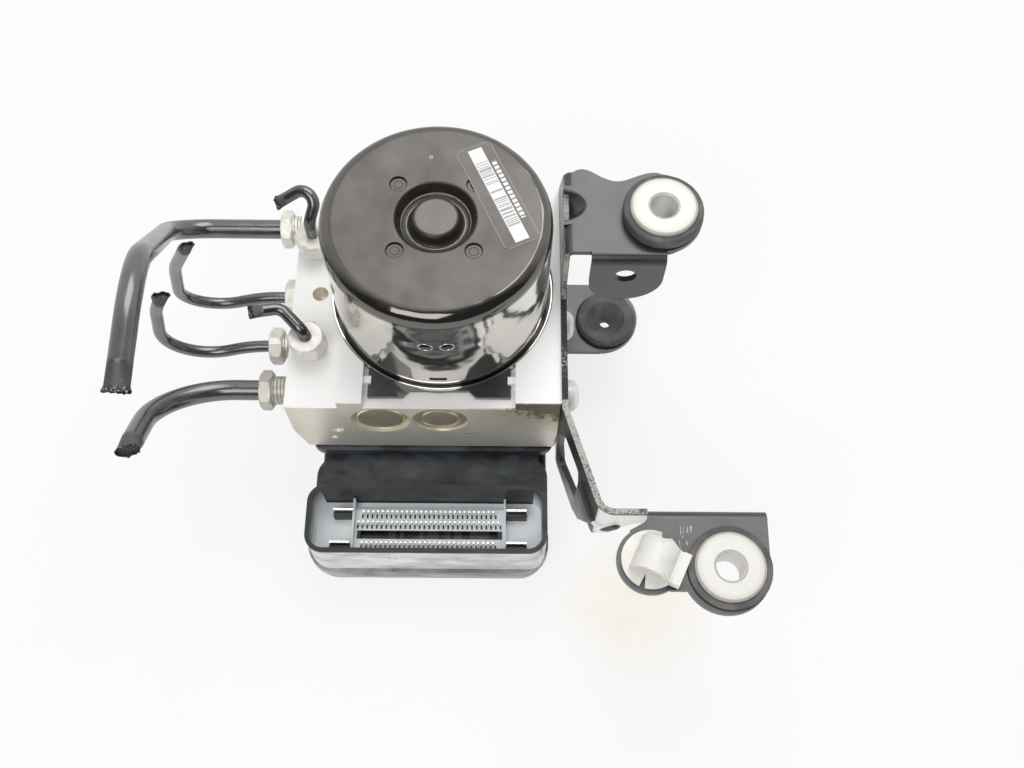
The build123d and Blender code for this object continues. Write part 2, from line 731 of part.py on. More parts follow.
def ecu_housing():
    """Moulded housing with its sealing rim, coil chamber and connector shroud."""
    flange_top = cover_height + ecu_flange_height
    shelf_z = block_z - seal_height - 2.5
    seal_z = block_z - seal_height
    room_left, room_right, room_front, room_rear = coil_room
    housing = ecu_outline(0, cover_height, flange_top)
    housing = fillet(housing.faces().sort_by(Axis.Z)[-1].edges(), 1.2)
    housing += slab(-body_left, body_right, -shroud_front + 2, shelf_rear, cover_height, shelf_z, shelf_corner)
    housing += slab(-back_left, back_right, shelf_rear - 2 * shelf_corner, body_rear - 1, cover_height, shelf_z,
                    body_corner / 2)
    housing += slab(-neck_left, neck_right, -seal_front + 1.5, body_rear - 3, shelf_z, seal_z, 4)
    housing += slab(-seal_left, seal_right, -seal_front, body_rear, seal_z, block_z - gasket_thick, seal_corner)
    housing += shroud_space(0, flange_top - 1, shroud_rim_z)
    housing -= shroud_space(shroud_wall, shroud_floor_z, shroud_rim_z + 1)
    board_room = ecu_outline(board_room_inset, cover_height - 1, board_z + 4)
    board_room += slab(-shroud_left + 6, shroud_right - 6, -shroud_front + 4, -seal_front + 4,
                       board_z, shroud_floor_z - shroud_floor, 5)
    for x, y in screw_places:
        board_room -= rod(screw_head_radius, (x, y, 0), block_z)
    housing -= slab(room_left, room_right, room_front, room_rear, board_z + 3, block_z + 1, 3)
    housing -= board_room
    for x in divider_x:
        housing += box(x - divider_thick / 2, x + divider_thick / 2, -shroud_front + shroud_wall,
                       -shroud_rear - shroud_wall, shroud_floor_z, shroud_floor_z + divider_height)
    housing += box(divider_x[0], divider_x[1], -shroud_front + shroud_wall, -shroud_rear - shroud_wall - 4,
                   shroud_floor_z, shroud_floor_z + pin_bed_height)
    low, high = key_slot_y
    housing -= box(divider_x[0] + 3, divider_x[1] - 3, low, high, shroud_floor_z - 1.5, shroud_floor_z + 5)
    window_z = shroud_floor_z + window_rise
    for x in window_places:
        housing -= box(x - window_width / 2, x + window_width / 2, -shroud_front - 1,
                       -shroud_front + shroud_wall + 0.5, window_z, window_z + window_height)
    for x, y in screw_places:
        housing -= rod(screw_radius + 0.3, (x, y, 0), block_z + 1)
    return housing


def ecu_gasket():
    """Flat seal between the housing's rim and the block."""
    room_left, room_right, room_front, room_rear = coil_room
    low = block_z - gasket_thick
    gasket = slab(-seal_left + 3, seal_right - 2, -seal_front + 3.5, body_rear - 1, low, block_z, seal_corner - 2)
    gasket -= slab(room_left, room_right, room_front, room_rear, low - 1, block_z + 1, 3)
    for x, y in screw_places:
        gasket -= rod(screw_radius + 0.3, (x, y, low - 1), gasket_thick + 2)
    return gasket


def circuit_board():
    """Board that carries the pins and the coil contacts."""
    board = ecu_outline(board_room_inset + 1.5, board_z, board_z + board_thick)
    for x, y in screw_places:
        board -= rod(screw_head_radius + 2.4, (x, y, board_z - 1), board_thick + 2)
    return board


def connector_pins():
    """Three rows of straight signal pins from the board into the connector."""
    pins = []
    top = shroud_floor_z + pin_bed_height + pin_height
    for first, y, count in pin_rows:
        for place in range(count):
            x = first + pin_pitch * place
            half = pin_size / 2
            pins.append(box(x - half, x + half, y - half, y + half, board_z + board_thick, top))
    return pins


def power_blades():
    """Four blade terminals at the connector's ends."""
    return [box(x - blade_width / 2, x + blade_width / 2, y - blade_thick / 2, y + blade_thick / 2,
                board_z + board_thick, shroud_floor_z + blade_height) for x, y in blade_places]


def ecu_screws():
    """Screws that hold the control unit to the block."""
    screws = []
    for x, y in screw_places:
        head_z = screw_seat_z - screw_head_height
        head = rod(screw_head_radius, (x, y, head_z), screw_head_height)
        head -= Pos(x, y, head_z) * extrude(RegularPolygon(2.2, 6), screw_head_height / 2)
        screws.append(head + rod(screw_radius, (x, y, screw_seat_z - 0.1), block_z + screw_grip - screw_seat_z))
    return screws


def plate_outline(*points):
    """Closed flat outline."""
    return make_face(Polyline(*points, close=True))


def round_fold(body, axis, radius, **place):
    """Round the edges along an axis that run through the given place."""
    picked = []
    for edge in body.edges().filter_by(axis):
        middle = edge.center()
        if all(abs(getattr(middle, name) - value) < 0.01 for name, value in place.items()):
            picked.append(edge)
    return fillet(picked, radius)


def strap_strip():
    """Plan outline of the wall's front end, the slanted strap and the arm, one sheet thick."""
    turn_x, turn_y = strap_turn
    start = Vector(block_right, -wall_front + strap_overlap)
    corner = Vector(block_right, -wall_front)
    turn = Vector(turn_x, turn_y)
    end = Vector(front_flange_x, turn_y)
    lean = math.atan2(turn_x - block_right, -wall_front - turn_y)
    across = Vector(math.cos(lean), math.sin(lean)) * sheet
    along = Vector(math.sin(lean), -math.cos(lean))
    first, second = strap_bends
    near = FilletPolyline(start, corner, turn, end, radius=[first, second])
    far_corner = corner + Vector(sheet, sheet * math.tan(lean / 2))
    far_turn = turn + across - along * sheet * math.tan((math.pi / 2 - lean) / 2)
    far = FilletPolyline(start + Vector(sheet, 0), far_corner, far_turn, end + Vector(0, sheet),
                         radius=[first - sheet, second - sheet])
    return make_face(near + far + Line(near @ 0, far @ 0) + Line(near @ 1, far @ 1)), lean


def fold_section(first, corner, last):
    """Cross-section of a sheet folded once, whose outer face runs from the first point over the corner to the last."""
    first, corner, last = Vector(*first), Vector(*corner), Vector(*last)
    back = (first - corner).normalized() * sheet
    onward = (last - corner).normalized() * sheet
    outer = FilletPolyline(first, corner, last, radius=fold_outside)
    inner = FilletPolyline(first + onward, corner + back + onward, last + back, radius=fold_outside - sheet)
    return make_face(outer + inner + Line(outer @ 0, inner @ 0) + Line(outer @ 1, inner @ 1))


def across_wall(section, y_low, y_high):
    """Solid of an (x, z) section between two places along the wall."""
    return Plane.XZ.offset(-y_high) * extrude(section, y_high - y_low)


def side_wall():
    """Sheet against the block's side, raised where it carries the upper flange and folded out at its foot."""
    left = block_right
    y_low, y_high = flange_y
    side = plate_outline(
        (-wall_front + strap_overlap, wall_foot_z), (wall_rear, wall_foot_z), (wall_rear, wall_top_z),
        (y_high, flange_top_z - fold_outside), (y_low, flange_top_z - fold_outside), (y_low, wall_top_z),
        (-wall_front + strap_overlap, wall_top_z))
    wall = round_fold(Plane.YZ.offset(left) * extrude(side, sheet), Axis.X, wall_notch, Y=y_low, Z=wall_top_z)
    low_front, low_back = low_flange_y
    fold_z = wall_foot_z + 2 * fold_outside
    wall -= box(left - 1, left + sheet + 1, low_front, low_back, wall_foot_z - 1, fold_z)
    x, y = low_lobe
    foot = fold_section((left, fold_z), (left, wall_foot_z), (x, wall_foot_z))
    wall += across_wall(foot, low_front, low_back)
    return wall + rod(low_lobe_radius, (x, y, wall_foot_z), sheet)


def upper_flange():
    """Upper flange with its mount lobe, its fold to the wall and the tab folded down from its front edge."""
    left = block_right
    y_low, y_high = flange_y
    x, y = rear_mount
    fold_x = left + fold_outside
    tab_left, tab_right = tab_x
    tab_foot_z = flange_top_z - tab_drop
    plate = plate_outline((fold_x, y_low), (tab_right, y_low), (tab_right, y), (x - 9, y + 16),
                          (left + 20, y_high - 6), (fold_x, y_high))
    flange = extrude(plate, sheet)
    flange += extrude(make_face(Spline(*rear_outline) + Polyline(rear_outline[-1], (x, y), (fold_x, y),
                                                                  rear_outline[0])), sheet)
    flange += rod(rear_lobe_radius, (*rear_lobe, 0), sheet)
    body = Pos(0, 0, flange_top_z - sheet) * flange
    body += across_wall(fold_section((left, flange_top_z - fold_outside - 1), (left, flange_top_z),
                                     (fold_x + 1, flange_top_z)), y_low, y_high)
    top_left, top_right = (tab_left, flange_top_z), (tab_right, flange_top_z)
    tab = make_face(FilletPolyline(top_left, (tab_left, tab_foot_z), (tab_right, tab_foot_z), top_right,
                                   radius=tab_rounds) + Line(top_right, top_left))
    folded = Plane.YZ.offset(tab_left) * extrude(fold_section(
        (y_low + 1, flange_top_z), (tab_face_y, flange_top_z), (tab_face_y, tab_foot_z)), tab_right - tab_left)
    body += folded & across_wall(tab, tab_face_y, y_low + 1)
    hole_z = flange_top_z - tab_hole_drop
    body -= rod(tab_hole_radius, (tab_hole_x, tab_face_y - 1, hole_z), sheet + 2, (0, 1, 0))

    # Dart pressed into the fold
    shift = dart_radius / math.sqrt(2)
    start = (left - 10 - shift, dart_y, flange_top_z - dart_depth - 10 + shift)
    dart = tube(dart_radius + sheet, dart_radius, start, 5 * dart_depth, (1, 0, 1)) & box(
        left, left + 3 * dart_depth, dart_y - 15, dart_y + 15, flange_top_z - 3 * dart_depth, flange_top_z)
    body = body - rod(dart_radius, start, 5 * dart_depth, (1, 0, 1)) + dart
    rim = [edge for edge in body.edges().filter_by(GeomType.ELLIPSE)
           if abs(edge.center().Z - flange_top_z) < 0.01 and edge.center().X > fold_x]
    return fillet(rim, dart_round)


def slanted_strap():
    """Strap that slants away from the wall and turns into the arm, with a slot and a stiffening bead."""
    strip, lean = strap_strip()
    body = Pos(0, 0, wall_foot_z - 2) * extrude(strip, wall_top_z - wall_foot_z + 2)
    turn_x, turn_y = strap_turn
    face = Plane(origin=(block_right, -wall_front, 0), x_dir=(math.sin(lean), -math.cos(lean), 0),
                 z_dir=(-math.cos(lean), -math.sin(lean), 0))
    length = math.hypot(turn_x - block_right, turn_y + wall_front)
    spare = 20
    under = Polyline(*strap_foot, (length + spare, strap_foot[-1][1]), (length + spare, 0), (-spare, 0),
                     (-spare, wall_foot_z), close=True)
    body -= extrude(face * make_face(under), spare, both=True)
    below_arm = plate_outline((arm_foot[0][0], 0), *arm_foot, (arm_end_x, arm_foot[-1][1]), (arm_end_x, 0))
    body -= across_wall(below_arm, turn_y - 1, turn_y + sheet + 1)
    slot = FilletPolyline(*slot_outline, radius=slot_round, close=True)
    body -= extrude(face * make_face(slot), spare, both=True)

    behind = face.offset(-bead_sunk)
    start, middle, end = bead_z
    turn_depth = length - bead_sunk * math.tan((math.pi / 2 - lean) / 2)
    path = FilletPolyline(
        behind.from_local_coords((bead_start, start)), behind.from_local_coords((turn_depth, middle)),
        Vector(bead_end_x, turn_y + bead_sunk, end), radius=strap_bends[1] - bead_sunk)
    bead = sweep(Plane(origin=path @ 0, z_dir=path % 0) * Circle(bead_radius), path)
    for place in (path @ 0, path @ 1):
        bead += Pos(place) * Sphere(bead_radius)
    return body + bead


def front_flange():
    """End of the arm with the flange folded forward from it, and the lobes for the mount and the cable clip."""
    x, y = front_lobe
    clip_x, clip_y = clip_place
    face_y = strap_turn[1]
    back_y = face_y + sheet
    folded = fold_section((back_y, wall_top_z - arm_height), (back_y, wall_top_z), (face_y - 2, wall_top_z))
    plate = plate_outline(
        (front_flange_x, face_y - 1), (arm_end_x, face_y - 1), (x + front_lobe_radius, y), (x, y - 5),
        (x - 14, clip_y - 11.6), (clip_x + 7, clip_y - 11.6), (clip_x, clip_y - 5), (clip_x - 7.4, clip_y + 11.7),
        (clip_x - 1.8, clip_y + 14.8))
    body = Plane.YZ.offset(front_flange_x) * extrude(folded, arm_end_x - front_flange_x)
    body += Pos(0, 0, wall_top_z - sheet) * extrude(plate, sheet)
    body += rod(front_lobe_radius, (x, y, wall_top_z - sheet), sheet)
    return body + rod(clip_lobe_radius, (clip_x, clip_y, wall_top_z - sheet), sheet)


def mounting_bracket():
    """Folded sheet-steel bracket: a wall on the block, three flanges, a tab and a slanted strap."""
    body = side_wall() + upper_flange() + slanted_strap() + front_flange()
    for (x, y), z in ((rear_mount, flange_top_z), (front_mount, wall_top_z), (low_mount, wall_foot_z + sheet)):
        body -= rod(mount_hole_radius, (x, y, z - sheet - 1), sheet + 2)
    body -= rod(clip_hole_radius, (*clip_place, wall_top_z - sheet - 1), sheet + 2)
    for y, height in bolt_places:
        body -= rod(bolt_shank_radius + 0.3, (block_right - 1, y, block_z + height), sheet + 2, (1, 0, 0))
    return body


def bracket_sections():
    """The one folded sheet, divided beside its folds so that each flat flange is a simple node."""
    rest = mounting_bracket()
    far = 300
    strap_y = -wall_front + strap_overlap
    face_y = strap_turn[1]
    zones = {
        "bracket_tab": box(block_right + sheet, far, -far, flange_y[0], flange_top_z - tab_drop - 1, flange_top_z + 1)
        & box(-far, far, strap_y + 1, far, -far, far),
        "bracket_upper_flange": box(block_right + dart_depth + 2 * sheet, far, strap_y, far, wall_top_z, far),
        "bracket_lower_flange": box(block_right + fold_outside, far, strap_y, far, -far, wall_foot_z + sheet),
        "bracket_front_flange": box(-far, far, -far, face_y + sheet - fold_outside, wall_top_z - sheet, far),
        "bracket_arm": box(-far, far, -far, strap_y, -far, far),
    }
    sections = {}
    for name, zone in zones.items():
        sections[name] = rest & zone
        rest -= zone
    sections["bracket_wall"] = rest
    return sections


def rubber_mount(place, seat_z, above):
    """Rubber bush that clamps a flange between two collars, with the sleeve's bore through it."""
    x, y = place
    bush = rod(rubber_radius, (0, 0, seat_z), above)
    bush += rod(rubber_foot_radius, (0, 0, seat_z - sheet - rubber_foot_height), rubber_foot_height)
    edges = bush.edges().filter_by(GeomType.CIRCLE)
    bush = fillet(edges, min(1.2, above / 3))
    bush += rod(mount_hole_radius, (0, 0, seat_z - sheet - 1), sheet + 2)
    return Pos(x, y, 0) * (bush - rod(sleeve_tube_radius, (0, 0, seat_z - 50), 100))


def low_rubber():
    """Dished rubber grommet in the lower flange."""
    seat = wall_foot_z + sheet
    foot = wall_foot_z - 4
    lip = mount_hole_radius + 1.8
    ring = turned(
        (grommet_bore_radius, foot), (lip, foot), (lip, wall_foot_z), (mount_hole_radius, wall_foot_z),
        (mount_hole_radius, seat), (grommet_radius, seat), (grommet_radius, seat + grommet_height - 1.2),
        (grommet_radius - 1.2, seat + grommet_height), (grommet_radius - 5, seat + grommet_height - 0.5),
        (grommet_bore_radius + 3, seat + 0.4), (grommet_bore_radius, seat - 1.5))
    return Pos(*low_mount, 0) * ring


def mount_sleeve(place, seat_z, above):
    """Zinc-plated steel sleeve with a wide flange on top of the rubber."""
    x, y = place
    top = seat_z + above + washer_thick
    foot = seat_z - sheet - rubber_foot_height - 0.5
    sleeve = rod(sleeve_tube_radius, (x, y, foot), top - foot)
    sleeve += rod(washer_radius, (x, y, top - washer_thick), washer_thick)
    sleeve -= rod(sleeve_bore_radius, (x, y, foot - 1), top - foot + 2)
    rims = sleeve.edges().filter_by(GeomType.CIRCLE).group_by(Axis.Z)[-1]
    return chamfer(rims, 0.5)


def bracket_bolts():
    """Domed bolts through the wall into the block."""
    bolts = []
    for y, height in bolt_places:
        start = block_right + sheet
        radius, rise = bolt_head_radius, bolt_head_height
        head = turned((0, 0), (radius, 0), (radius, rise * 0.3), (radius * 0.93, rise * 0.6), (radius * 0.7, rise * 0.87),
                      (radius * 0.35, rise * 0.98), (0, rise))
        head += rod(bolt_shank_radius, (0, 0, -sheet - bolt_grip), sheet + bolt_grip)
        bolts.append(Plane(origin=(start, y, block_z + height), z_dir=(1, 0, 0)) * head)
    return bolts


def cable_clip():
    """White plastic clip: a disc on the flange, an open saddle on it and a barbed stem."""
    x, y = clip_place
    seat = wall_top_z
    disc = rod(clip_disc_radius, (0, 0, seat), clip_disc_thick)
    disc -= box(4.5, 8.5, 8.0, 14, seat - 1, seat + 3)
    disc -= Pos(0, 0, seat - 1) * extrude(plate_outline((-2.4, -5.5), (-3.2, -13), (-6.0, -12)), 4)
    axis_z = seat + clip_disc_thick + 1.2
    saddle = tube(saddle_radius, saddle_radius - saddle_wall, (0, saddle_width / 2, axis_z), saddle_width, (0, -1, 0))
    saddle -= box(-20, 20, -20, 20, seat - 20, seat + clip_disc_thick)
    saddle += box(saddle_radius - 0.6, saddle_radius + 3.8, -saddle_width / 2, saddle_width / 2,
                  seat + clip_disc_thick, axis_z + 3.4)
    saddle -= box(saddle_radius - 0.2, saddle_radius + 0.7, -saddle_width / 2, saddle_width / 2,
                  axis_z + 2.4, axis_z + 5)
    stem = rod(clip_hole_radius - 0.2, (0, 0, seat - sheet - 5), sheet + 5)
    stem += turned((0, seat - sheet - 6), (2.0, seat - sheet - 6), (clip_hole_radius + 1.0, seat - sheet - 0.2),
                   (0, seat - sheet - 0.2))
    clip = disc + Rot(0, 0, saddle_turn) * Pos(1.5, 0, 0) * saddle + stem
    return Pos(x, y, 0) * clip


os.makedirs("parts", exist_ok=True)
save("motor_can", motor_can())
save("motor_plate", motor_plate())
save("magnets", *magnets())
save("armature_core", armature_core())
save("windings", windings())
save("commutator", commutator())
save("motor_shaft", motor_shaft())
save("eccentric_ring", eccentric_ring())
save("shaft_bearings", *shaft_bearings())
save("brush_holder", brush_holder())
save("brushes", *brushes())
save("hydraulic_block", hydraulic_block())
save("pump_plugs", *pump_plugs())
save("pump_sleeves", *pump_sleeves())
save("pump_plunger_front", pump_plunger(-1))
save("pump_plunger_rear", pump_plunger(1))
save("accumulator_caps", *store_caps())
save("accumulator_pistons", *store_pistons())
save("accumulator_springs", *store_springs())
save("valve_cartridges", *valve_cartridges())
save("solenoid_coils", *solenoid_coils())
save("tube_nuts_large", *side_nuts(large_nut, large_ports, large_pipe_radius + fit_gap))
save("tube_nuts_small", *side_nuts(small_nut, small_ports, small_pipe_radius + fit_gap), *top_nuts())
for name, route in pipe_routes.items():
    save(name, pipe(*route))
save("ecu_cover", ecu_cover())
save("ecu_housing", ecu_housing())
save("ecu_gasket", ecu_gasket())
save("circuit_board", circuit_board())
save("connector_pins", *connector_pins())
save("power_blades", *power_blades())
save("ecu_screws", *ecu_screws())
for name, section in bracket_sections().items():
    save(name, section)
save("rubber_mount_rear", rubber_mount(rear_mount, flange_top_z, rear_rubber_height))
save("rubber_mount_front", rubber_mount(front_mount, wall_top_z, front_rubber_height))
save("rubber_mount_low", low_rubber())
save("mount_sleeve_rear", mount_sleeve(rear_mount, flange_top_z, rear_rubber_height))
save("mount_sleeve_front", mount_sleeve(front_mount, wall_top_z, front_rubber_height))
save("bracket_bolts", *bracket_bolts())
save("cable_clip", cable_clip())
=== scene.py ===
# %% [markdown]
# # Anti-lock brake hydraulic unit
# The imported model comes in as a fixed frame: every solid already lies in its place, in metres.
# This lesson gives each solid the finish of the real thing. It also adds the small pieces that the solids
# leave out: the label, the screw threads, the lips of the louvres, the blade feet and the torn pipe ends.

# %% Load the frame
import math
import bpy
from mathutils import Matrix, Vector


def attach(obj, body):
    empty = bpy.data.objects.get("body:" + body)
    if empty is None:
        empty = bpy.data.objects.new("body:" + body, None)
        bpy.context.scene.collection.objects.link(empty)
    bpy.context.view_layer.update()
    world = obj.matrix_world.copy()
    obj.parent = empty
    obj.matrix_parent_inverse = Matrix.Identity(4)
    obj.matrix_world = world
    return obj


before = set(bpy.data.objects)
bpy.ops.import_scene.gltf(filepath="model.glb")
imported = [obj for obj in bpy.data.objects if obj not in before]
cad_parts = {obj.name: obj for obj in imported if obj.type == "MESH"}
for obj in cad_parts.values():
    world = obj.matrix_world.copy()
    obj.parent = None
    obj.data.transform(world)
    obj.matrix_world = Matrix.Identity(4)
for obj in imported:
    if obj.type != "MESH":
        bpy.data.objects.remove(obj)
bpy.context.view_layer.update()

print("solids:", len(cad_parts))

# %% [markdown]
# ## Helpers for materials
# Paint charts give colours as sRGB hex values, and Blender wants them linear.
# A material is a tree of nodes, so one function adds a node with its settings and links.
# Patterns read Object coordinates, turned to millimetres so that real sizes can be typed in.

# %% Colour and node helpers
MM = 0.001


def linear(text):
    """Linear colour of an sRGB hex value."""
    parts = [int(text[i:i + 2], 16) / 255 for i in (1, 3, 5)]
    return tuple(c / 12.92 if c <= 0.04045 else ((c + 0.055) / 1.055) ** 2.4 for c in parts) + (1.0,)


def add(tree, kind, inputs=(), **settings):
    """Add a node and return its outputs. An input gets a value, a hex colour or another node's output."""
    node = tree.nodes.new(kind)
    for name, value in settings.items():
        setattr(node, name, value)
    for name, value in dict(inputs).items():
        if isinstance(value, bpy.types.NodeSocket):
            tree.links.new(value, node.inputs[name])
        else:
            node.inputs[name].default_value = linear(value) if isinstance(value, str) else value
    return node.outputs


def begin(name):
    """New material: its tree and its Object coordinates in millimetres."""
    material = bpy.data.materials.new(name)
    material.use_nodes = True
    tree = material.node_tree
    tree.nodes.clear()
    metres = add(tree, "ShaderNodeTexCoord")["Object"]
    place = add(tree, "ShaderNodeVectorMath", {0: metres, "Scale": 1 / MM}, operation="SCALE")[0]
    return material, tree, place


def end(tree, inputs):
    """Close a tree with a Principled surface."""
    surface = add(tree, "ShaderNodeBsdfPrincipled", inputs)[0]
    add(tree, "ShaderNodeOutputMaterial", {"Surface": surface})


def zone(tree, *bands):
    """1 where each value lies within its band, otherwise 0."""
    mask = 1.0
    for value, low, high in bands:
        inside = add(tree, "ShaderNodeMath", {0: value, 1: (low + high) / 2, 2: (high - low) / 2},
                     operation="COMPARE")[0]
        mask = add(tree, "ShaderNodeMath", {0: mask, 1: inside}, operation="MULTIPLY")[0]
    return mask


def dress(material, *nodes):
    """Give a material to solids of the frame."""
    for name in nodes:
        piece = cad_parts[name]
        piece.data.materials.clear()
        piece.data.materials.append(material)
    print(material.name, "on", ", ".join(nodes))


# %% [markdown]
# ## Motor can
# The can is deep-drawn steel under a thin black enamel. Its flat top has gone satin with age, while the drawn
# side is polished by the die and mirrors the block below it. So one material changes with place: rough and
# grey on the flat top, smooth and painted darker on the shoulder as a dark reflection, smooth and pale on the
# side, with a painted dark reflection in the front middle round the louvres, and a ring of painted shade
# where the can meets its foot flange. Brake dust has settled in the ring round the bearing boss, which is
# painted near black as shade too, and four staking marks each show as two fine circles. A very low swell
# breaks the mirror up, as the die leaves it.

# %% Black enamel on drawn steel
CAN_TOP = 137.8
CAN_RADIUS = 45.0
FLAT_RADIUS = 40.5                  # the satin top ends here and the glossy shoulder begins
TOP_DEPTH = 8.0                     # the top's finish reaches this far down, into its recess and dimples
SHOULDER = 6.0                      # height of the shoulder, which is painted darker as a dark reflection
FLANGE_TOP_Z = 82.0                 # of the can's foot flange
FLANGE_RADIUS = 46.5
BOSS_RADIUS = 7.7
RECESS_RADIUS = 16.6
DARK_REFLECTION_X = (19.0, 7.0)             # the painted dark reflection fades in from the first to the second, either side
DARK_REFLECTION_Z = (94.0, 112.0)           # the painted dark reflection grows darker between these heights
CAN_FRONT = (-60.0, 0.0)            # the front half of the can, along Y
CHIP_PLACE = (-2.6, 27.4, CAN_TOP)  # a tiny chip in the enamel, shown as a pale ring
STAKE_PLACE = 14.81                 # of the staking marks, along X and Y
SEAT_RINGS = (11.4, 13.4)           # rubbed circles in the ring round the boss
STAKE_RINGS = ((3.25, 0.3), (1.75, 0.16))     # radius and half the line's width
SEAT_LINE = 0.2                     # half the width of a rubbed circle


def aged_enamel(tree, place):
    """Colour of the flat top: satin grey with faint clouds."""
    cloud = add(tree, "ShaderNodeTexNoise", {"Vector": place, "Scale": 1 / 16, "Detail": 5.0})["Fac"]
    wear = add(tree, "ShaderNodeMapRange", {0: cloud, 1: 0.3, 2: 0.7})[0]
    return add(tree, "ShaderNodeMix", {0: wear, 6: "#524f4d", 7: "#62605d"}, data_type="RGBA")[2]


def black_enamel():
    material, tree, place = begin("black_enamel_drawn_steel")
    x, y, z = add(tree, "ShaderNodeSeparateXYZ", {0: place})[0:3]
    flat = add(tree, "ShaderNodeVectorMath", {0: place, 1: (1.0, 1.0, 0.0)}, operation="MULTIPLY")[0]
    radius = add(tree, "ShaderNodeVectorMath", {0: flat}, operation="LENGTH")["Value"]
    flat_part = zone(tree, (radius, 0.0, FLAT_RADIUS), (z, CAN_TOP - TOP_DEPTH, CAN_TOP + 1.0))
    # painted dark reflection: the shoulder is darker than the pale side
    dark_shoulder = add(tree, "ShaderNodeMapRange", {0: z, 1: CAN_TOP - SHOULDER - 1.5, 2: CAN_TOP - SHOULDER})[0]
    side_x = add(tree, "ShaderNodeMath", {0: x}, operation="ABSOLUTE")[0]
    # painted dark reflection: the front middle of the side is darker, more so higher up
    middle = add(tree, "ShaderNodeMapRange", {0: side_x, 1: DARK_REFLECTION_X[0], 2: DARK_REFLECTION_X[1]})[0]
    front = zone(tree, (y, *CAN_FRONT), (radius, 0.0, CAN_RADIUS + 0.1))
    dark_reflection_rise = add(tree, "ShaderNodeMapRange", {0: z, 1: DARK_REFLECTION_Z[0], 2: DARK_REFLECTION_Z[1], 4: 0.85})[0]
    painted_dark_reflection = add(tree, "ShaderNodeMath", {0: middle, 1: front}, operation="MULTIPLY")[0]
    dark_reflection_amount = add(tree, "ShaderNodeMath", {0: painted_dark_reflection, 1: dark_reflection_rise}, operation="MULTIPLY")[0]
    drawn = add(tree, "ShaderNodeMix", {0: dark_reflection_amount, 6: "#dcd9d3", 7: "#6a6866"}, data_type="RGBA")[2]
    side = add(tree, "ShaderNodeMix", {0: dark_shoulder, 6: drawn, 7: "#6f6c69"}, data_type="RGBA")[2]
    # painted shade: a dark ring where the can meets its foot flange
    foot_shade = zone(tree, (z, FLANGE_TOP_Z - 3.0, FLANGE_TOP_Z + 0.6), (radius, 0.0, FLANGE_RADIUS - 0.35))
    side_and_foot_shade = add(tree, "ShaderNodeMix", {0: foot_shade, 6: side, 7: "#302f2e"}, data_type="RGBA")[2]
    shade = add(tree, "ShaderNodeMix",
                {0: flat_part, 6: side_and_foot_shade, 7: aged_enamel(tree, place)}, data_type="RGBA")[2]
    # brake dust in the ring round the boss, also painted near black as shade
    low = add(tree, "ShaderNodeMapRange", {0: z, 1: CAN_TOP - 0.05, 2: CAN_TOP - 0.3})[0]
    near = zone(tree, (radius, BOSS_RADIUS, RECESS_RADIUS))
    soot_and_shade = add(tree, "ShaderNodeMath", {0: low, 1: near}, operation="MULTIPLY")[0]
    grit = add(tree, "ShaderNodeTexNoise", {"Vector": place, "Scale": 1 / 1.2, "Detail": 4.0})["Fac"]
    dust_and_painted_light = add(tree, "ShaderNodeMix", {0: grit, 6: "#040403", 7: "#3a352e"}, data_type="RGBA")[2]
    boss = zone(tree, (radius, 0.0, BOSS_RADIUS))
    worn = add(tree, "ShaderNodeMix", {0: boss, 6: shade, 7: "#65625e"}, data_type="RGBA")[2]
    colour = add(tree, "ShaderNodeMix", {0: soot_and_shade, 6: worn, 7: dust_and_painted_light}, data_type="RGBA")[2]
    for seat in SEAT_RINGS:
        line = zone(tree, (radius, seat - SEAT_LINE, seat + SEAT_LINE),
                    (z, CAN_TOP - TOP_DEPTH, CAN_TOP - 1.0))
        rubbed = add(tree, "ShaderNodeMath", {0: line, 1: grit}, operation="MULTIPLY")[0]
        colour = add(tree, "ShaderNodeMix", {0: rubbed, 6: colour, 7: "#d8d2c6"}, data_type="RGBA")[2]
    quarter = add(tree, "ShaderNodeVectorMath", {0: flat}, operation="ABSOLUTE")[0]
    away = add(tree, "ShaderNodeVectorMath", {0: quarter, 1: (STAKE_PLACE, STAKE_PLACE, 0.0)},
               operation="DISTANCE")["Value"]
    for ring, half in STAKE_RINGS:
        mark = zone(tree, (away, ring - half, ring + half))
        faint = add(tree, "ShaderNodeMath", {0: mark, 1: 0.75}, operation="MULTIPLY")[0]
        colour = add(tree, "ShaderNodeMix", {0: faint, 6: colour, 7: "#1f1d1b"}, data_type="RGBA")[2]
    chip = add(tree, "ShaderNodeVectorMath", {0: place, 1: CHIP_PLACE}, operation="DISTANCE")["Value"]
    colour = add(tree, "ShaderNodeMix", {0: zone(tree, (chip, 0.4, 0.8)), 6: colour, 7: "#8f8c87"},
                 data_type="RGBA")[2]
    shine = add(tree, "ShaderNodeMapRange", {0: soot_and_shade, 3: 0.95, 4: 0.0})[0]
    rough = add(tree, "ShaderNodeMapRange", {0: flat_part, 3: 0.09, 4: 0.42})[0]
    peel = add(tree, "ShaderNodeTexNoise", {"Vector": place, "Scale": 1 / 0.9, "Detail": 2.0})["Fac"]
    swell = add(tree, "ShaderNodeTexNoise", {"Vector": place, "Scale": 1 / 13, "Detail": 1.0})["Fac"]
    fine = add(tree, "ShaderNodeBump", {"Height": peel, "Strength": 0.18, "Distance": 0.08 * MM})[0]
    relief = add(tree, "ShaderNodeBump",
                 {"Height": swell, "Strength": 0.5, "Distance": 1.2 * MM, "Normal": fine})[0]
    end(tree, {"Base Color": colour, "Metallic": shine, "Roughness": rough, "Normal": relief})
    return material


dress(black_enamel(), "motor_can")

# %% [markdown]
# ## Motor plate
# The plate under the can is pressed steel with the same enamel, thicker and glossier.
# A clear coat over a dark base gives the wet look.

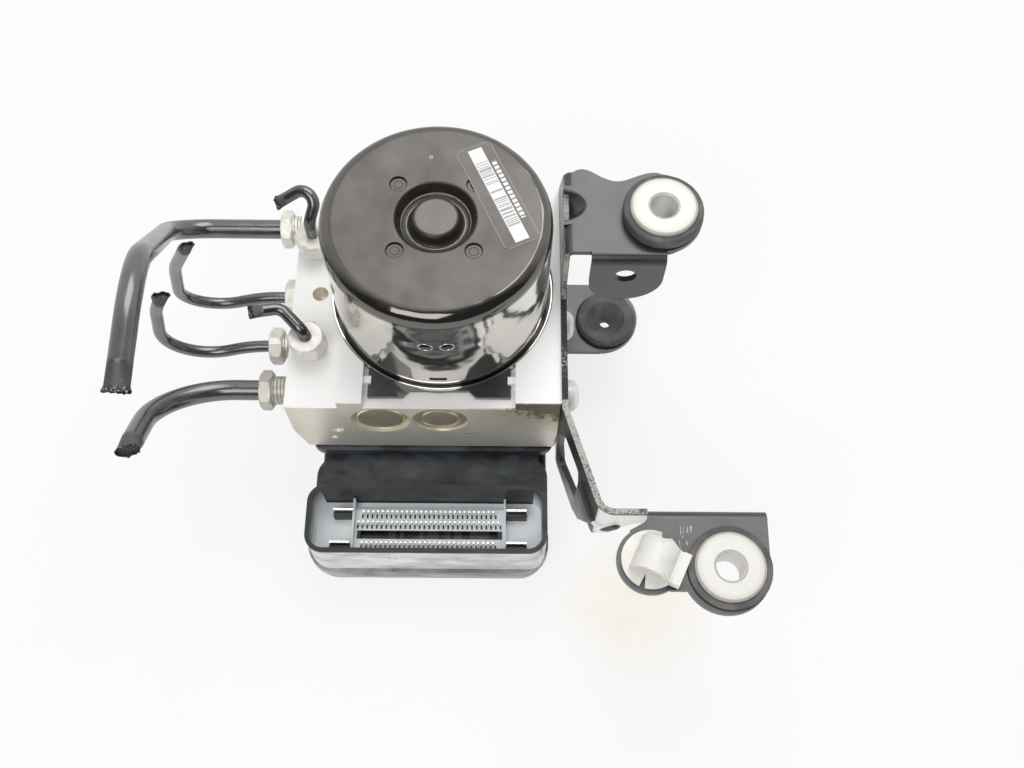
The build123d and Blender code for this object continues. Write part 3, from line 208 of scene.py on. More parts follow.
# %% Gloss black enamel
def gloss_enamel():
    material, tree, place = begin("gloss_black_enamel")
    cloud = add(tree, "ShaderNodeTexNoise", {"Vector": place, "Scale": 1 / 6, "Detail": 3.0})["Fac"]
    colour = add(tree, "ShaderNodeMix", {0: cloud, 6: "#141618", 7: "#34383b"}, data_type="RGBA")[2]
    end(tree, {"Base Color": colour, "Roughness": 0.3, "Coat Weight": 1.0, "Coat Roughness": 0.06})
    return material


dress(gloss_enamel(), "motor_plate")

# %% [markdown]
# ## Valve block
# The block is an aluminium extrusion, milled on its faces. The cutter leaves fine parallel lines. They are
# drawn as a wave that runs up the upright faces, with a pitch of about 1.2 mm, coarser than the real 0.1 mm
# so that they show. The upward faces are painted whiter and less metallic than the front, as painted light.
# Road dirt with a little rust clings to the upper right corner of the front and to its left chamfer.

# %% Milled aluminium
BLOCK_TOPS = (77.0, 84.0)           # its upward faces lie between these heights
BLOCK_FRONT = -53.6
DIRT_X = (2.0, 48.0)                # the dirt on the front thickens from the first to the second
DIRT_Z = (52.0, 80.0)
CHAMFER_X = (-50.0, -63.0)          # and more thinly here, towards the left chamfer
TOOL_MARK = (12.1, 51.7)            # a short dash on the front: x, z
TOOL_MARK_HALF = (2.6, 0.3)         # half its length and half its height


def milled_aluminium():
    material, tree, place = begin("milled_aluminium")
    x, y, z = add(tree, "ShaderNodeSeparateXYZ", {0: place})[0:3]
    lines = add(tree, "ShaderNodeTexWave", {"Vector": place, "Scale": 1 / 3.8, "Distortion": 1.5,
                                            "Detail": 2.0, "Detail Scale": 0.4}, bands_direction="Z")["Fac"]
    cloud = add(tree, "ShaderNodeTexNoise", {"Vector": place, "Scale": 1 / 18, "Detail": 5.0})["Fac"]
    metal = add(tree, "ShaderNodeMix", {0: cloud, 6: "#efe9da", 7: "#fffaf0"}, data_type="RGBA")[2]
    # painted light: the upward faces are whiter than the front
    top = zone(tree, (z, *BLOCK_TOPS), (y, BLOCK_FRONT + 0.1, 60.0))
    metal_with_bright_top = add(tree, "ShaderNodeMix", {0: top, 6: metal, 7: "#fbfaf8"}, data_type="RGBA")[2]
    front = zone(tree, (y, BLOCK_FRONT - 1.0, BLOCK_FRONT + 0.6))
    right = add(tree, "ShaderNodeMapRange", {0: x, 1: DIRT_X[0], 2: DIRT_X[1]})[0]
    high = add(tree, "ShaderNodeMapRange", {0: z, 1: DIRT_Z[0], 2: DIRT_Z[1]})[0]
    corner = add(tree, "ShaderNodeMath", {0: right, 1: high}, operation="MULTIPLY")[0]
    left = add(tree, "ShaderNodeMapRange", {0: x, 1: CHAMFER_X[0], 2: CHAMFER_X[1], 4: 0.3})[0]
    both = add(tree, "ShaderNodeMath", {0: corner, 1: left}, operation="MAXIMUM")[0]
    soiled = add(tree, "ShaderNodeMath", {0: both, 1: front}, operation="MULTIPLY")[0]
    grit = add(tree, "ShaderNodeTexNoise",
               {"Vector": place, "Scale": 1 / 2.6, "Detail": 7.0, "Roughness": 0.75})["Fac"]
    amount = add(tree, "ShaderNodeMath", {0: grit, 1: soiled}, operation="MULTIPLY")[0]
    dirt = add(tree, "ShaderNodeMapRange", {0: amount, 1: 0.24, 2: 0.33, 4: 0.9})[0]
    stain = add(tree, "ShaderNodeMapRange", {0: amount, 1: 0.02, 2: 0.3, 3: 0.0, 4: 0.7})[0]
    stained = add(tree, "ShaderNodeMix", {0: stain, 6: metal_with_bright_top, 7: "#a3926c"}, data_type="RGBA")[2]
    soil = add(tree, "ShaderNodeMix", {0: cloud, 6: "#2e2419", 7: "#6b5a3e"}, data_type="RGBA")[2]
    dirty = add(tree, "ShaderNodeMix", {0: dirt, 6: stained, 7: soil}, data_type="RGBA")[2]
    mark_x, mark_z = TOOL_MARK
    half_x, half_z = TOOL_MARK_HALF
    mark = zone(tree, (x, mark_x - half_x, mark_x + half_x), (z, mark_z - half_z, mark_z + half_z),
                (y, -60.0, -50.0))
    dash = add(tree, "ShaderNodeMath", {0: mark, 1: grit}, operation="MULTIPLY")[0]
    colour = add(tree, "ShaderNodeMix", {0: dash, 6: dirty, 7: "#1a1611"}, data_type="RGBA")[2]
    dull = add(tree, "ShaderNodeMath", {0: dirt, 1: top}, operation="MAXIMUM")[0]
    shine = add(tree, "ShaderNodeMapRange", {0: dull, 3: 0.62, 4: 0.1})[0]
    relief = add(tree, "ShaderNodeBump", {"Height": lines, "Strength": 0.15, "Distance": 0.05 * MM})[0]
    end(tree, {"Base Color": colour, "Metallic": shine, "Roughness": 0.45, "Normal": relief})
    return material


dress(milled_aluminium(), "hydraulic_block")

# %% [markdown]
# ## Pressed-in caps and plugs
# The accumulator caps and pump plugs are turned steel. They have a warmer, slightly oily look beside the
# aluminium, and a fine grain breaks up their gloss.

# %% Oiled turned steel
def oiled_steel():
    material, tree, place = begin("oiled_turned_steel")
    cloud = add(tree, "ShaderNodeTexNoise", {"Vector": place, "Scale": 1 / 5, "Detail": 4.0})["Fac"]
    colour = add(tree, "ShaderNodeMix", {0: cloud, 6: "#e9dfbf", 7: "#fff6de"}, data_type="RGBA")[2]
    fine = add(tree, "ShaderNodeTexNoise", {"Vector": place, "Scale": 1 / 0.7})["Fac"]
    relief = add(tree, "ShaderNodeBump", {"Height": fine, "Strength": 0.15, "Distance": 0.05 * MM})[0]
    end(tree, {"Base Color": colour, "Metallic": 0.9, "Roughness": 0.38, "Normal": relief})
    return material


dress(oiled_steel(), "pump_plugs", "accumulator_caps")

# %% [markdown]
# ## Zinc-plated pieces
# Tube nuts, bolts and the flanged sleeves are zinc plated. Zinc is pale, a little warm, and cloudy where it
# has dulled. The foremost nut is painted greyer as shade. The sleeves' chamfers are painted as thin grey
# circles of shade, and the plating has begun to go brown round the edge.

# %% Zinc plating
SHADED_NUT_X = (-80.0, -60.0)            # the painted shade on the foremost nut lies within these
SHADED_NUT_Y = (-60.0, -20.0)
SHADED_NUT_Z = (50.0, 72.0)
SLEEVE_AXES = ((89.7, 15.8), (112.3, -121.0))
BROWN_FROM, BROWN_FULL = 10.5, 13.2      # radii between which the brown tinge grows
RIM_CHAMFER = (12.6, 13.1)          # radii of the grey circles, painted shade on the chamfers
BORE_CHAMFER = (5.9, 6.5)


def zinc_plating(name, dark, light, shine, rough):
    material, tree, place = begin(name)
    x, y, z = add(tree, "ShaderNodeSeparateXYZ", {0: place})[0:3]
    cloud = add(tree, "ShaderNodeTexNoise", {"Vector": place, "Scale": 1 / 3.0, "Detail": 4.0})["Fac"]
    soft = add(tree, "ShaderNodeMapRange", {0: cloud, 1: 0.3, 2: 0.7})[0]
    colour = add(tree, "ShaderNodeMix", {0: soft, 6: dark, 7: light}, data_type="RGBA")[2]
    # painted shade: the foremost nut is greyer
    soiled = zone(tree, (y, *SHADED_NUT_Y), (z, *SHADED_NUT_Z), (x, *SHADED_NUT_X))
    nut_shade = add(tree, "ShaderNodeMath", {0: soiled, 1: 0.55}, operation="MULTIPLY")[0]
    colour = add(tree, "ShaderNodeMix", {0: nut_shade, 6: colour, 7: "#9a968a"}, data_type="RGBA")[2]
    relief = add(tree, "ShaderNodeBump", {"Height": cloud, "Strength": 0.12, "Distance": 0.06 * MM})[0]
    end(tree, {"Base Color": colour, "Metallic": shine, "Roughness": rough, "Normal": relief})
    return material


def turned_zinc():
    """Flanged sleeves: bright, with painted shade on the chamfers at rim and bore and a brown tinge round the
    edge.
    """
    material, tree, place = begin("bright_zinc_plating")
    flat = add(tree, "ShaderNodeVectorMath", {0: place, 1: (1.0, 1.0, 0.0)}, operation="MULTIPLY")[0]
    away = [add(tree, "ShaderNodeVectorMath", {0: flat, 1: (*axis, 0.0)}, operation="DISTANCE")["Value"]
            for axis in SLEEVE_AXES]
    radius = add(tree, "ShaderNodeMath", {0: away[0], 1: away[1]}, operation="MINIMUM")[0]
    cloud = add(tree, "ShaderNodeTexNoise", {"Vector": place, "Scale": 1 / 5, "Detail": 5.0})["Fac"]
    plain = add(tree, "ShaderNodeMix", {0: cloud, 6: "#dad8d1", 7: "#e7e6e2"}, data_type="RGBA")[2]
    outer = add(tree, "ShaderNodeMapRange", {0: radius, 1: BROWN_FROM, 2: BROWN_FULL, 4: 0.7})[0]
    tinge = add(tree, "ShaderNodeMath", {0: outer, 1: cloud}, operation="MULTIPLY")[0]
    tinged = add(tree, "ShaderNodeMix", {0: tinge, 6: plain, 7: "#a08a70"}, data_type="RGBA")[2]
    # painted shade: the chamfers at rim and bore are greyer
    rim = zone(tree, (radius, *RIM_CHAMFER))
    bore = zone(tree, (radius, *BORE_CHAMFER))
    edge = add(tree, "ShaderNodeMath", {0: rim, 1: bore}, operation="MAXIMUM")[0]
    faint = add(tree, "ShaderNodeMath", {0: edge, 1: 0.6}, operation="MULTIPLY")[0]
    colour = add(tree, "ShaderNodeMix", {0: faint, 6: tinged, 7: "#8b877e"}, data_type="RGBA")[2]
    end(tree, {"Base Color": colour, "Metallic": 0.12, "Roughness": 0.36})
    return material


dress(zinc_plating("dull_zinc_plating", "#dad7cd", "#f4f2ec", 0.4, 0.42), "tube_nuts_large",
      "tube_nuts_small")
dress(zinc_plating("bolt_zinc_plating", "#f0eee8", "#fdfcfa", 0.15, 0.38), "bracket_bolts")
dress(turned_zinc(), "mount_sleeve_rear", "mount_sleeve_front")

# %% [markdown]
# ## Brake pipes
# The pipes are steel with a black plastic coat, satin and hard. Side cutters nipped them off, which flattened
# their ends and flaked the coat there, so bare steel shows in specks that thicken towards each tip. Near each
# tip the coat is also painted darker, as shade.
# The tips follow from each pipe's last run: it ends at a point, and the flattened stretch goes on past it.
# The coat's IOR is set above that of plastic, which makes its highlights stronger.

# %% Pipe ends
# Each line gives the last corner, the end of the round pipe, the direction of the flat end's width, its
# length, the pipe's radius and how much wider than the pipe the flat end is.
PIPE_ENDS = {
    "pipe_master_rear": ((-101.5, -35.0, 162.0), (-103.0, -70.5, 155.0), (1, 0.1, 0), 9.0, 4.35, 1.06),
    "pipe_master_front": ((-119.4, -38.7, 62.0), (-116.6, -75.1, 94.3), (1, 0.2, 0.1), 7.0, 4.35, 1.1),
    "pipe_wheel_side_rear": ((-108.3, -1.6, 100.9), (-97.5, -7.0, 124.1), (1, 0.3, 0), 4.0, 2.55, 1.15),
    "pipe_wheel_side_front": ((-113.7, -20.8, 99.3), (-109.8, -21.5, 108.4), (1, 0.3, 0), 5.0, 2.55, 1.4),
    "pipe_wheel_top_front": ((-64.5, -17.5, 96.3), (-71.3, -19.6, 98.1), (0, 1, 0), 4.0, 2.55, 1.15),
    "pipe_wheel_top_rear": ((-49.5, 35.0, 112.5), (-65.0, 30.9, 103.8), (0, 1, 0.3), 4.0, 2.55, 1.15),
}
TIPS = {}
FLAT_LENGTHS = {}
for name, (corner, last, _, flat_length, _, _) in PIPE_ENDS.items():
    along = (Vector(last) - Vector(corner)).normalized()
    TIPS[name] = Vector(last) + along * flat_length
    FLAT_LENGTHS[name] = flat_length
    print(name, "tip", [round(v, 1) for v in TIPS[name]])

# %% Black pipe coat
NEAR_CAN_X = (-83.0, -40.0)         # the coat is darker on the two top pipes, beside the can
NEAR_CAN_Z = (80.0, 125.0)


def pipe_coat():
    material, tree, place = begin("black_pipe_coat")
    reach = 1000.0                  # distance to the nearest tip, in lengths of its flat end
    for name, tip in TIPS.items():
        away = add(tree, "ShaderNodeVectorMath", {0: place, 1: tip}, operation="DISTANCE")["Value"]
        share = add(tree, "ShaderNodeMath", {0: away, 1: FLAT_LENGTHS[name]}, operation="DIVIDE")[0]
        reach = add(tree, "ShaderNodeMath", {0: share, 1: reach}, operation="MINIMUM")[0]
    cloud = add(tree, "ShaderNodeTexNoise", {"Vector": place, "Scale": 1 / 7, "Detail": 5.0})["Fac"]
    coat = add(tree, "ShaderNodeMix", {0: cloud, 6: "#2b2b2c", 7: "#4a4a4b"}, data_type="RGBA")[2]
    sides = add(tree, "ShaderNodeSeparateXYZ", {0: place})
    near_can = zone(tree, (sides["X"], *NEAR_CAN_X), (sides["Z"], *NEAR_CAN_Z))
    darker_top_pipes = add(tree, "ShaderNodeMath", {0: near_can, 1: 0.75}, operation="MULTIPLY")[0]
    coat = add(tree, "ShaderNodeMix", {0: darker_top_pipes, 6: coat, 7: "#0d0d0e"}, data_type="RGBA")[2]
    flake = add(tree, "ShaderNodeTexNoise",
                {"Vector": place, "Scale": 1 / 1.1, "Detail": 6.0, "Roughness": 0.7})["Fac"]
    limit = add(tree, "ShaderNodeMapRange", {0: reach, 1: 0.1, 2: 1.6, 3: 0.6, 4: 0.74})[0]
    over = add(tree, "ShaderNodeMath", {0: flake, 1: limit}, operation="SUBTRACT")[0]
    bare = add(tree, "ShaderNodeMapRange", {0: over, 1: 0.0, 2: 0.03})[0]
    colour = add(tree, "ShaderNodeMix", {0: bare, 6: coat, 7: "#8d8a84"}, data_type="RGBA")[2]
    # chipped coat, and painted shade: near each tip the coat is darker and rougher
    chipped_and_shaded = add(tree, "ShaderNodeMix", {0: bare, 6: "#111112", 7: "#8d8a84"}, data_type="RGBA")[2]
    crushed = add(tree, "ShaderNodeMapRange", {0: reach, 1: 1.25, 2: 0.95})[0]
    colour = add(tree, "ShaderNodeMix", {0: crushed, 6: colour, 7: chipped_and_shaded}, data_type="RGBA")[2]
    smooth = add(tree, "ShaderNodeMapRange", {0: cloud, 1: 0.3, 2: 0.7, 3: 0.17, 4: 0.28})[0]
    rough = add(tree, "ShaderNodeMix", {0: crushed, 2: smooth, 3: 0.6})[0]
    relief = add(tree, "ShaderNodeBump", {"Height": flake, "Strength": 0.2, "Distance": 0.08 * MM})[0]
    end(tree, {"Base Color": colour, "Roughness": rough, "IOR": 2.2, "Normal": relief})
    return material


dress(pipe_coat(), *PIPE_ENDS)

# %% [markdown]
# ## Bracket
# The bracket is pressed steel with a black dip coat. Dipping leaves it satin and smooth on the faces and thin
# on the sheared edges, where the steel shines through in specks. The arm's front face is painted nearly white
# and a little metallic, as a painted highlight.
# Short scratches lie on the front flange, between the clip and the sleeve.

# %% Black dip coat
SHEET_X = (50.0, 52.5)              # the wall's two faces
WALL_TOP = 85.0
ARM_FRONT = -100.2
RAISED_Y = (-6.0, 45.0)             # the raised stretch of the wall, whose sheared edges show
RAISED_TOP = 114.0
EDGE_X = (49.0, 84.0)               # the sheared top edge of wall and arm
EDGE_REAR = -2.0                    # it runs back to here
OUTER_REAR = -52.0                  # in front of here its coat is thinnest
ARM_X = (50.0, 82.6)                # the arm's front face, painted bright as a highlight
ARM_FOOT = 30.0
ROUNDING_X = (55.0, 61.0)           # across the fold the painted highlight begins
SCRATCH = (96.3, -108.5)            # middle of the scratched spot
SCRATCH_HALF_WIDTH = 2.6
SCRATCH_FRONT, SCRATCH_REAR = 4.5, 4.0


def dip_coat():
    material, tree, place = begin("black_dip_coat")
    x, y, z = add(tree, "ShaderNodeSeparateXYZ", {0: place})[0:3]
    cloud = add(tree, "ShaderNodeTexNoise", {"Vector": place, "Scale": 1 / 12, "Detail": 5.0})["Fac"]
    coat = add(tree, "ShaderNodeMix", {0: cloud, 6: "#1f2123", 7: "#393c3e"}, data_type="RGBA")[2]
    speckle = add(tree, "ShaderNodeTexNoise", {"Vector": place, "Scale": 1 / 0.8, "Detail": 5.0,
                                               "Roughness": 0.7})["Fac"]
    raised = zone(tree, (x, SHEET_X[0] + 0.2, SHEET_X[1] - 0.2), (y, *RAISED_Y),
                  (z, WALL_TOP - 0.5, RAISED_TOP))
    top = (z, WALL_TOP - 0.4, WALL_TOP + 0.4)
    sheared = zone(tree, top, (y, ARM_FRONT + 0.3, EDGE_REAR), (x, *EDGE_X))
    outer = zone(tree, top, (y, ARM_FRONT + 0.3, OUTER_REAR), (x, *EDGE_X))
    edge = add(tree, "ShaderNodeMath", {0: sheared, 1: raised}, operation="MAXIMUM")[0]
    thin_coat = add(tree, "ShaderNodeMath", {0: outer, 1: raised}, operation="MAXIMUM")[0]
    more = add(tree, "ShaderNodeMath", {0: edge, 1: thin_coat}, operation="ADD")[0]
    stretch = add(tree, "ShaderNodeTexNoise", {"Vector": place, "Scale": 1 / 14, "Detail": 2.0})["Fac"]
    patchy = add(tree, "ShaderNodeMapRange", {0: stretch, 1: 0.4, 2: 0.6, 3: 0.07, 4: -0.05})[0]
    base_limit = add(tree, "ShaderNodeMapRange", {0: more, 2: 2.0, 3: 0.78, 4: 0.42})[0]
    limit = add(tree, "ShaderNodeMath", {0: base_limit, 1: patchy}, operation="ADD")[0]
    over = add(tree, "ShaderNodeMath", {0: speckle, 1: limit}, operation="SUBTRACT")[0]
    bare = add(tree, "ShaderNodeMapRange", {0: over, 1: -0.06, 2: 0.08})[0]
    # painted highlight: the arm's front face is near white and a little metallic
    highlit_arm_face = zone(tree, (y, ARM_FRONT - 0.2, ARM_FRONT + 3.2), (x, *ARM_X), (z, ARM_FOOT, WALL_TOP - 1.0))
    highlight_fade_in = add(tree, "ShaderNodeMapRange", {0: x, 1: ROUNDING_X[0], 2: ROUNDING_X[1]})[0]
    rubbed = add(tree, "ShaderNodeMath", {0: highlit_arm_face, 1: highlight_fade_in}, operation="MULTIPLY")[0]
    bright = add(tree, "ShaderNodeMath", {0: bare, 1: rubbed}, operation="MAXIMUM")[0]
    steel = add(tree, "ShaderNodeMix", {0: rubbed, 6: "#b9b6ae", 7: "#f2f1ee"}, data_type="RGBA")[2]
    edged = add(tree, "ShaderNodeMix", {0: edge, 6: coat, 7: "#0d0e0f"}, data_type="RGBA")[2]
    colour = add(tree, "ShaderNodeMix", {0: bright, 6: edged, 7: steel}, data_type="RGBA")[2]
    mark_x, mark_y = SCRATCH
    spot = zone(tree, (x, mark_x - SCRATCH_HALF_WIDTH, mark_x + SCRATCH_HALF_WIDTH),
                (y, mark_y - SCRATCH_FRONT, mark_y + SCRATCH_REAR), (z, WALL_TOP - 0.2, WALL_TOP + 0.2))
    stretched = add(tree, "ShaderNodeVectorMath", {0: place, 1: (1.6, 0.35, 1.0)}, operation="MULTIPLY")[0]
    streak = add(tree, "ShaderNodeTexNoise", {"Vector": stretched, "Scale": 1 / 1.2, "Detail": 3.0})["Fac"]
    line = add(tree, "ShaderNodeMapRange", {0: streak, 1: 0.56, 2: 0.62, 4: 0.7})[0]
    scratch = add(tree, "ShaderNodeMath", {0: line, 1: spot}, operation="MULTIPLY")[0]
    colour = add(tree, "ShaderNodeMix", {0: scratch, 6: colour, 7: "#c9c7c2"}, data_type="RGBA")[2]
    shine = add(tree, "ShaderNodeMath", {0: rubbed, 1: 0.35}, operation="MULTIPLY")[0]
    smooth = add(tree, "ShaderNodeMapRange", {0: cloud, 1: 0.3, 2: 0.7, 3: 0.24, 4: 0.36})[0]
    rough = add(tree, "ShaderNodeMix", {0: edge, 2: smooth, 3: 0.7})[0]
    relief = add(tree, "ShaderNodeBump", {"Height": speckle, "Strength": 0.1, "Distance": 0.08 * MM})[0]
    end(tree, {"Base Color": colour, "Metallic": shine, "Roughness": rough, "IOR": 1.7, "Normal": relief})
    return material


dress(dip_coat(), "bracket_wall", "bracket_arm", "bracket_upper_flange", "bracket_lower_flange",
      "bracket_front_flange", "bracket_tab")

# %% [markdown]
# ## Rubber, white clip and seal
# The mounts are moulded natural rubber: matte and dark grey, with a bloom of paler dust. The housing's seal
# has the same finish. The cable clip is white nylon, slightly see-through, so a little light passes under
# its skin.

# %% Rubber and nylon
def moulded_rubber():
    material, tree, place = begin("moulded_rubber")
    cloud = add(tree, "ShaderNodeTexNoise", {"Vector": place, "Scale": 1 / 9, "Detail": 5.0})["Fac"]
    bloom = add(tree, "ShaderNodeMapRange", {0: cloud, 1: 0.45, 2: 0.75})[0]
    colour = add(tree, "ShaderNodeMix", {0: bloom, 6: "#505153", 7: "#767571"}, data_type="RGBA")[2]
    grain = add(tree, "ShaderNodeTexNoise", {"Vector": place, "Scale": 1 / 0.6, "Detail": 3.0})["Fac"]
    relief = add(tree, "ShaderNodeBump", {"Height": grain, "Strength": 0.3, "Distance": 0.1 * MM})[0]
    end(tree, {"Base Color": colour, "Roughness": 0.62, "Normal": relief})
    return material


def white_nylon():
    material, tree, place = begin("white_nylon")
    cloud = add(tree, "ShaderNodeTexNoise", {"Vector": place, "Scale": 1 / 5, "Detail": 4.0})["Fac"]
    soil = add(tree, "ShaderNodeMapRange", {0: cloud, 1: 0.5, 2: 0.8})[0]
    colour = add(tree, "ShaderNodeMix", {0: soil, 6: "#f0eee8", 7: "#dedbd0"}, data_type="RGBA")[2]
    end(tree, {"Base Color": colour, "Roughness": 0.38, "Subsurface Weight": 0.15,
               "Subsurface Radius": (2 * MM, 2 * MM, 2 * MM)})
    return material


dress(moulded_rubber(), "rubber_mount_rear", "rubber_mount_front", "rubber_mount_low", "ecu_gasket")
dress(white_nylon(), "cable_clip")

# %% [markdown]
# ## Control unit
# The housing is black glass-filled nylon with a fine moulded grain. Inside the connector shroud the floor
# between the pins is painted near white as light, the walls darken towards the rim and at the back as painted
# shade, and painted shade lies in the gaps between the pins. Dust lies thick on the shroud's front too, with
# wiped smears in it, and the front is painted paler still as a painted reflection. The slot for the plug's
# keys is painted black as shade, with ribs across it.
# The cover below is a lighter grey moulding.

# %% Moulded housing and cover
SHROUD = (-57.2, 45.2, -103.6, -73.4)    # left, right, front and rear
SHROUD_WALL = 2.0
SHROUD_FLOOR = 24.0
SHROUD_RIM = 42.0
INNER_FOOT = 18.0                   # the connector's zones start here, below its floor
KEY_SLOT = (-37.2, 26.2, -93.1, -89.3)
FLANGE_TOP = 16.0
LEDGE_FOOT = 9.0                    # of the dusty ledge below the shroud's front
LEDGE_Y = (-106.0, -95.0)
PIN_PITCH = 2.085
PIN_ROWS = ((-34.0, -82.6, 28), (-36.0, -87.3, 30), (-34.0, -96.4, 28))     # first x, y, count
RIB_PITCH = 1.7


def housing_plastic():
    material, tree, place = begin("black_glass_filled_nylon")
    x, y, z = add(tree, "ShaderNodeSeparateXYZ", {0: place})[0:3]
    left, right, front, rear = SHROUD
    wall = SHROUD_WALL - 0.1
    inside = zone(tree, (x, left + wall, right - wall), (y, front + wall, rear - wall),
                  (z, INNER_FOOT, SHROUD_RIM + 1))
    cloud = add(tree, "ShaderNodeTexNoise", {"Vector": place, "Scale": 1 / 9, "Detail": 5.0})["Fac"]
    wiped = add(tree, "ShaderNodeVectorMath", {0: place, 1: (0.45, 0.8, 1.0)}, operation="MULTIPLY")[0]
    smear = add(tree, "ShaderNodeTexNoise",
                {"Vector": wiped, "Scale": 1 / 8, "Detail": 6.0, "Roughness": 0.6})["Fac"]
    drag = add(tree, "ShaderNodeMapRange", {0: smear, 1: 0.38, 2: 0.66})[0]
    outer = add(tree, "ShaderNodeMix", {0: drag, 6: "#1e2125", 7: "#50565c"}, data_type="RGBA")[2]
    # painted light and shade: the floor is near white, the walls darken towards the rim and at the back
    height = add(tree, "ShaderNodeMapRange", {0: z, 1: SHROUD_FLOOR + 4, 2: SHROUD_RIM - 1})[0]
    shaded_back_wall = zone(tree, (y, rear - SHROUD_WALL - 0.6, rear), (z, INNER_FOOT, SHROUD_RIM + 1))
    shade = add(tree, "ShaderNodeMath", {0: height, 1: shaded_back_wall}, operation="MAXIMUM")[0]
    painted_inner_light = add(tree, "ShaderNodeMix", {0: shade, 6: "#f3f7fa", 7: "#303336"}, data_type="RGBA")[2]
    colour = add(tree, "ShaderNodeMix", {0: inside, 6: outer, 7: painted_inner_light}, data_type="RGBA")[2]
    rim = zone(tree, (z, SHROUD_RIM - 0.5, SHROUD_RIM + 0.5))
    colour = add(tree, "ShaderNodeMix", {0: rim, 6: colour, 7: "#17181a"}, data_type="RGBA")[2]
    slot_left, slot_right, slot_front, slot_rear = KEY_SLOT
    # painted shade: the key slot is near black, with grey ribs across it
    slot = zone(tree, (x, slot_left, slot_right), (y, slot_front, slot_rear), (z, INNER_FOOT, 30.0))
    rib = add(tree, "ShaderNodeMath", {0: x, 1: RIB_PITCH}, operation="SNAP")[0]
    chance = add(tree, "ShaderNodeTexWhiteNoise", {"W": rib}, noise_dimensions="1D")["Value"]
    gap = add(tree, "ShaderNodeMapRange", {0: chance, 1: 0.55, 2: 0.6, 4: 0.5})[0]
    slot_shade = add(tree, "ShaderNodeMix", {0: gap, 6: "#060607", 7: "#5c6064"}, data_type="RGBA")[2]
    colour = add(tree, "ShaderNodeMix", {0: slot, 6: colour, 7: slot_shade}, data_type="RGBA")[2]
    # painted shade: dark gaps between the pins of each row
    for first_x, row_y, count in PIN_ROWS:
        from_gap = add(tree, "ShaderNodeMath", {0: x, 1: first_x - PIN_PITCH}, operation="SUBTRACT")[0]
        phase = add(tree, "ShaderNodeMath", {0: from_gap, 1: PIN_PITCH}, operation="MODULO")[0]
        gap = zone(tree, (phase, 0.3 * PIN_PITCH, 0.7 * PIN_PITCH), (y, row_y - 1.2, row_y + 0.7),
                   (z, INNER_FOOT, 28.0), (x, first_x - 1.5, first_x + PIN_PITCH * count))
        colour = add(tree, "ShaderNodeMix", {0: gap, 6: colour, 7: "#1c1f22"}, data_type="RGBA")[2]
    # dust with wiped smears, and painted reflection: the shroud's front is painted near white
    outside = add(tree, "ShaderNodeMath", {0: 1.0, 1: inside}, operation="SUBTRACT")[0]
    before = zone(tree, (y, front - 2.5, front + 7.0), (z, FLANGE_TOP + 0.2, SHROUD_RIM - 1.2))
    dusty_and_reflecting = add(tree, "ShaderNodeMath", {0: before, 1: outside}, operation="MULTIPLY")[0]
    dust_and_painted_light = add(tree, "ShaderNodeMix", {0: drag, 6: "#c2c3c4", 7: "#f6f6f4"}, data_type="RGBA")[2]
    colour = add(tree, "ShaderNodeMix", {0: dusty_and_reflecting, 6: colour, 7: dust_and_painted_light}, data_type="RGBA")[2]
    ledge = zone(tree, (z, LEDGE_FOOT, FLANGE_TOP + 0.2), (y, *LEDGE_Y))
    settled = add(tree, "ShaderNodeMix", {0: drag, 6: "#75777a", 7: "#b9baba"}, data_type="RGBA")[2]
    colour = add(tree, "ShaderNodeMix", {0: ledge, 6: colour, 7: settled}, data_type="RGBA")[2]
    grain = add(tree, "ShaderNodeTexNoise", {"Vector": place, "Scale": 1 / 0.5, "Detail": 3.0})["Fac"]
    relief = add(tree, "ShaderNodeBump", {"Height": grain, "Strength": 0.25, "Distance": 0.06 * MM})[0]
    rough = add(tree, "ShaderNodeMapRange", {0: cloud, 1: 0.3, 2: 0.7, 3: 0.32, 4: 0.48})[0]
    end(tree, {"Base Color": colour, "Roughness": rough, "Normal": relief})
    return material


def cover_plastic():
    material, tree, place = begin("grey_filled_nylon")
    cloud = add(tree, "ShaderNodeTexNoise", {"Vector": place, "Scale": 1 / 8, "Detail": 5.0})["Fac"]
    colour = add(tree, "ShaderNodeMix", {0: cloud, 6: "#a4a5a4", 7: "#cbcbc8"}, data_type="RGBA")[2]
    end(tree, {"Base Color": colour, "Roughness": 0.5})
    return material


dress(housing_plastic(), "ecu_housing")
dress(cover_plastic(), "ecu_cover")

# %% [markdown]
# ## Pieces inside
# What lies inside is seen only when the unit is taken apart, but each piece still gets the finish of its
# trade: ground steel, laminated core sheets, enamelled copper, sintered ferrite, brown moulded resin, carbon,
# tin and green board.

# %% Inner finishes
def inner_finish(name, dark, light, size, metallic, rough):
    material, tree, place = begin(name)
    cloud = add(tree, "ShaderNodeTexNoise", {"Vector": place, "Scale": 1 / size, "Detail": 3.0})["Fac"]
    colour = add(tree, "ShaderNodeMix", {0: cloud, 6: dark, 7: light}, data_type="RGBA")[2]
    relief = add(tree, "ShaderNodeBump", {"Height": cloud, "Strength": 0.2, "Distance": 0.04 * MM})[0]
    end(tree, {"Base Color": colour, "Metallic": metallic, "Roughness": rough, "Normal": relief})
    return material


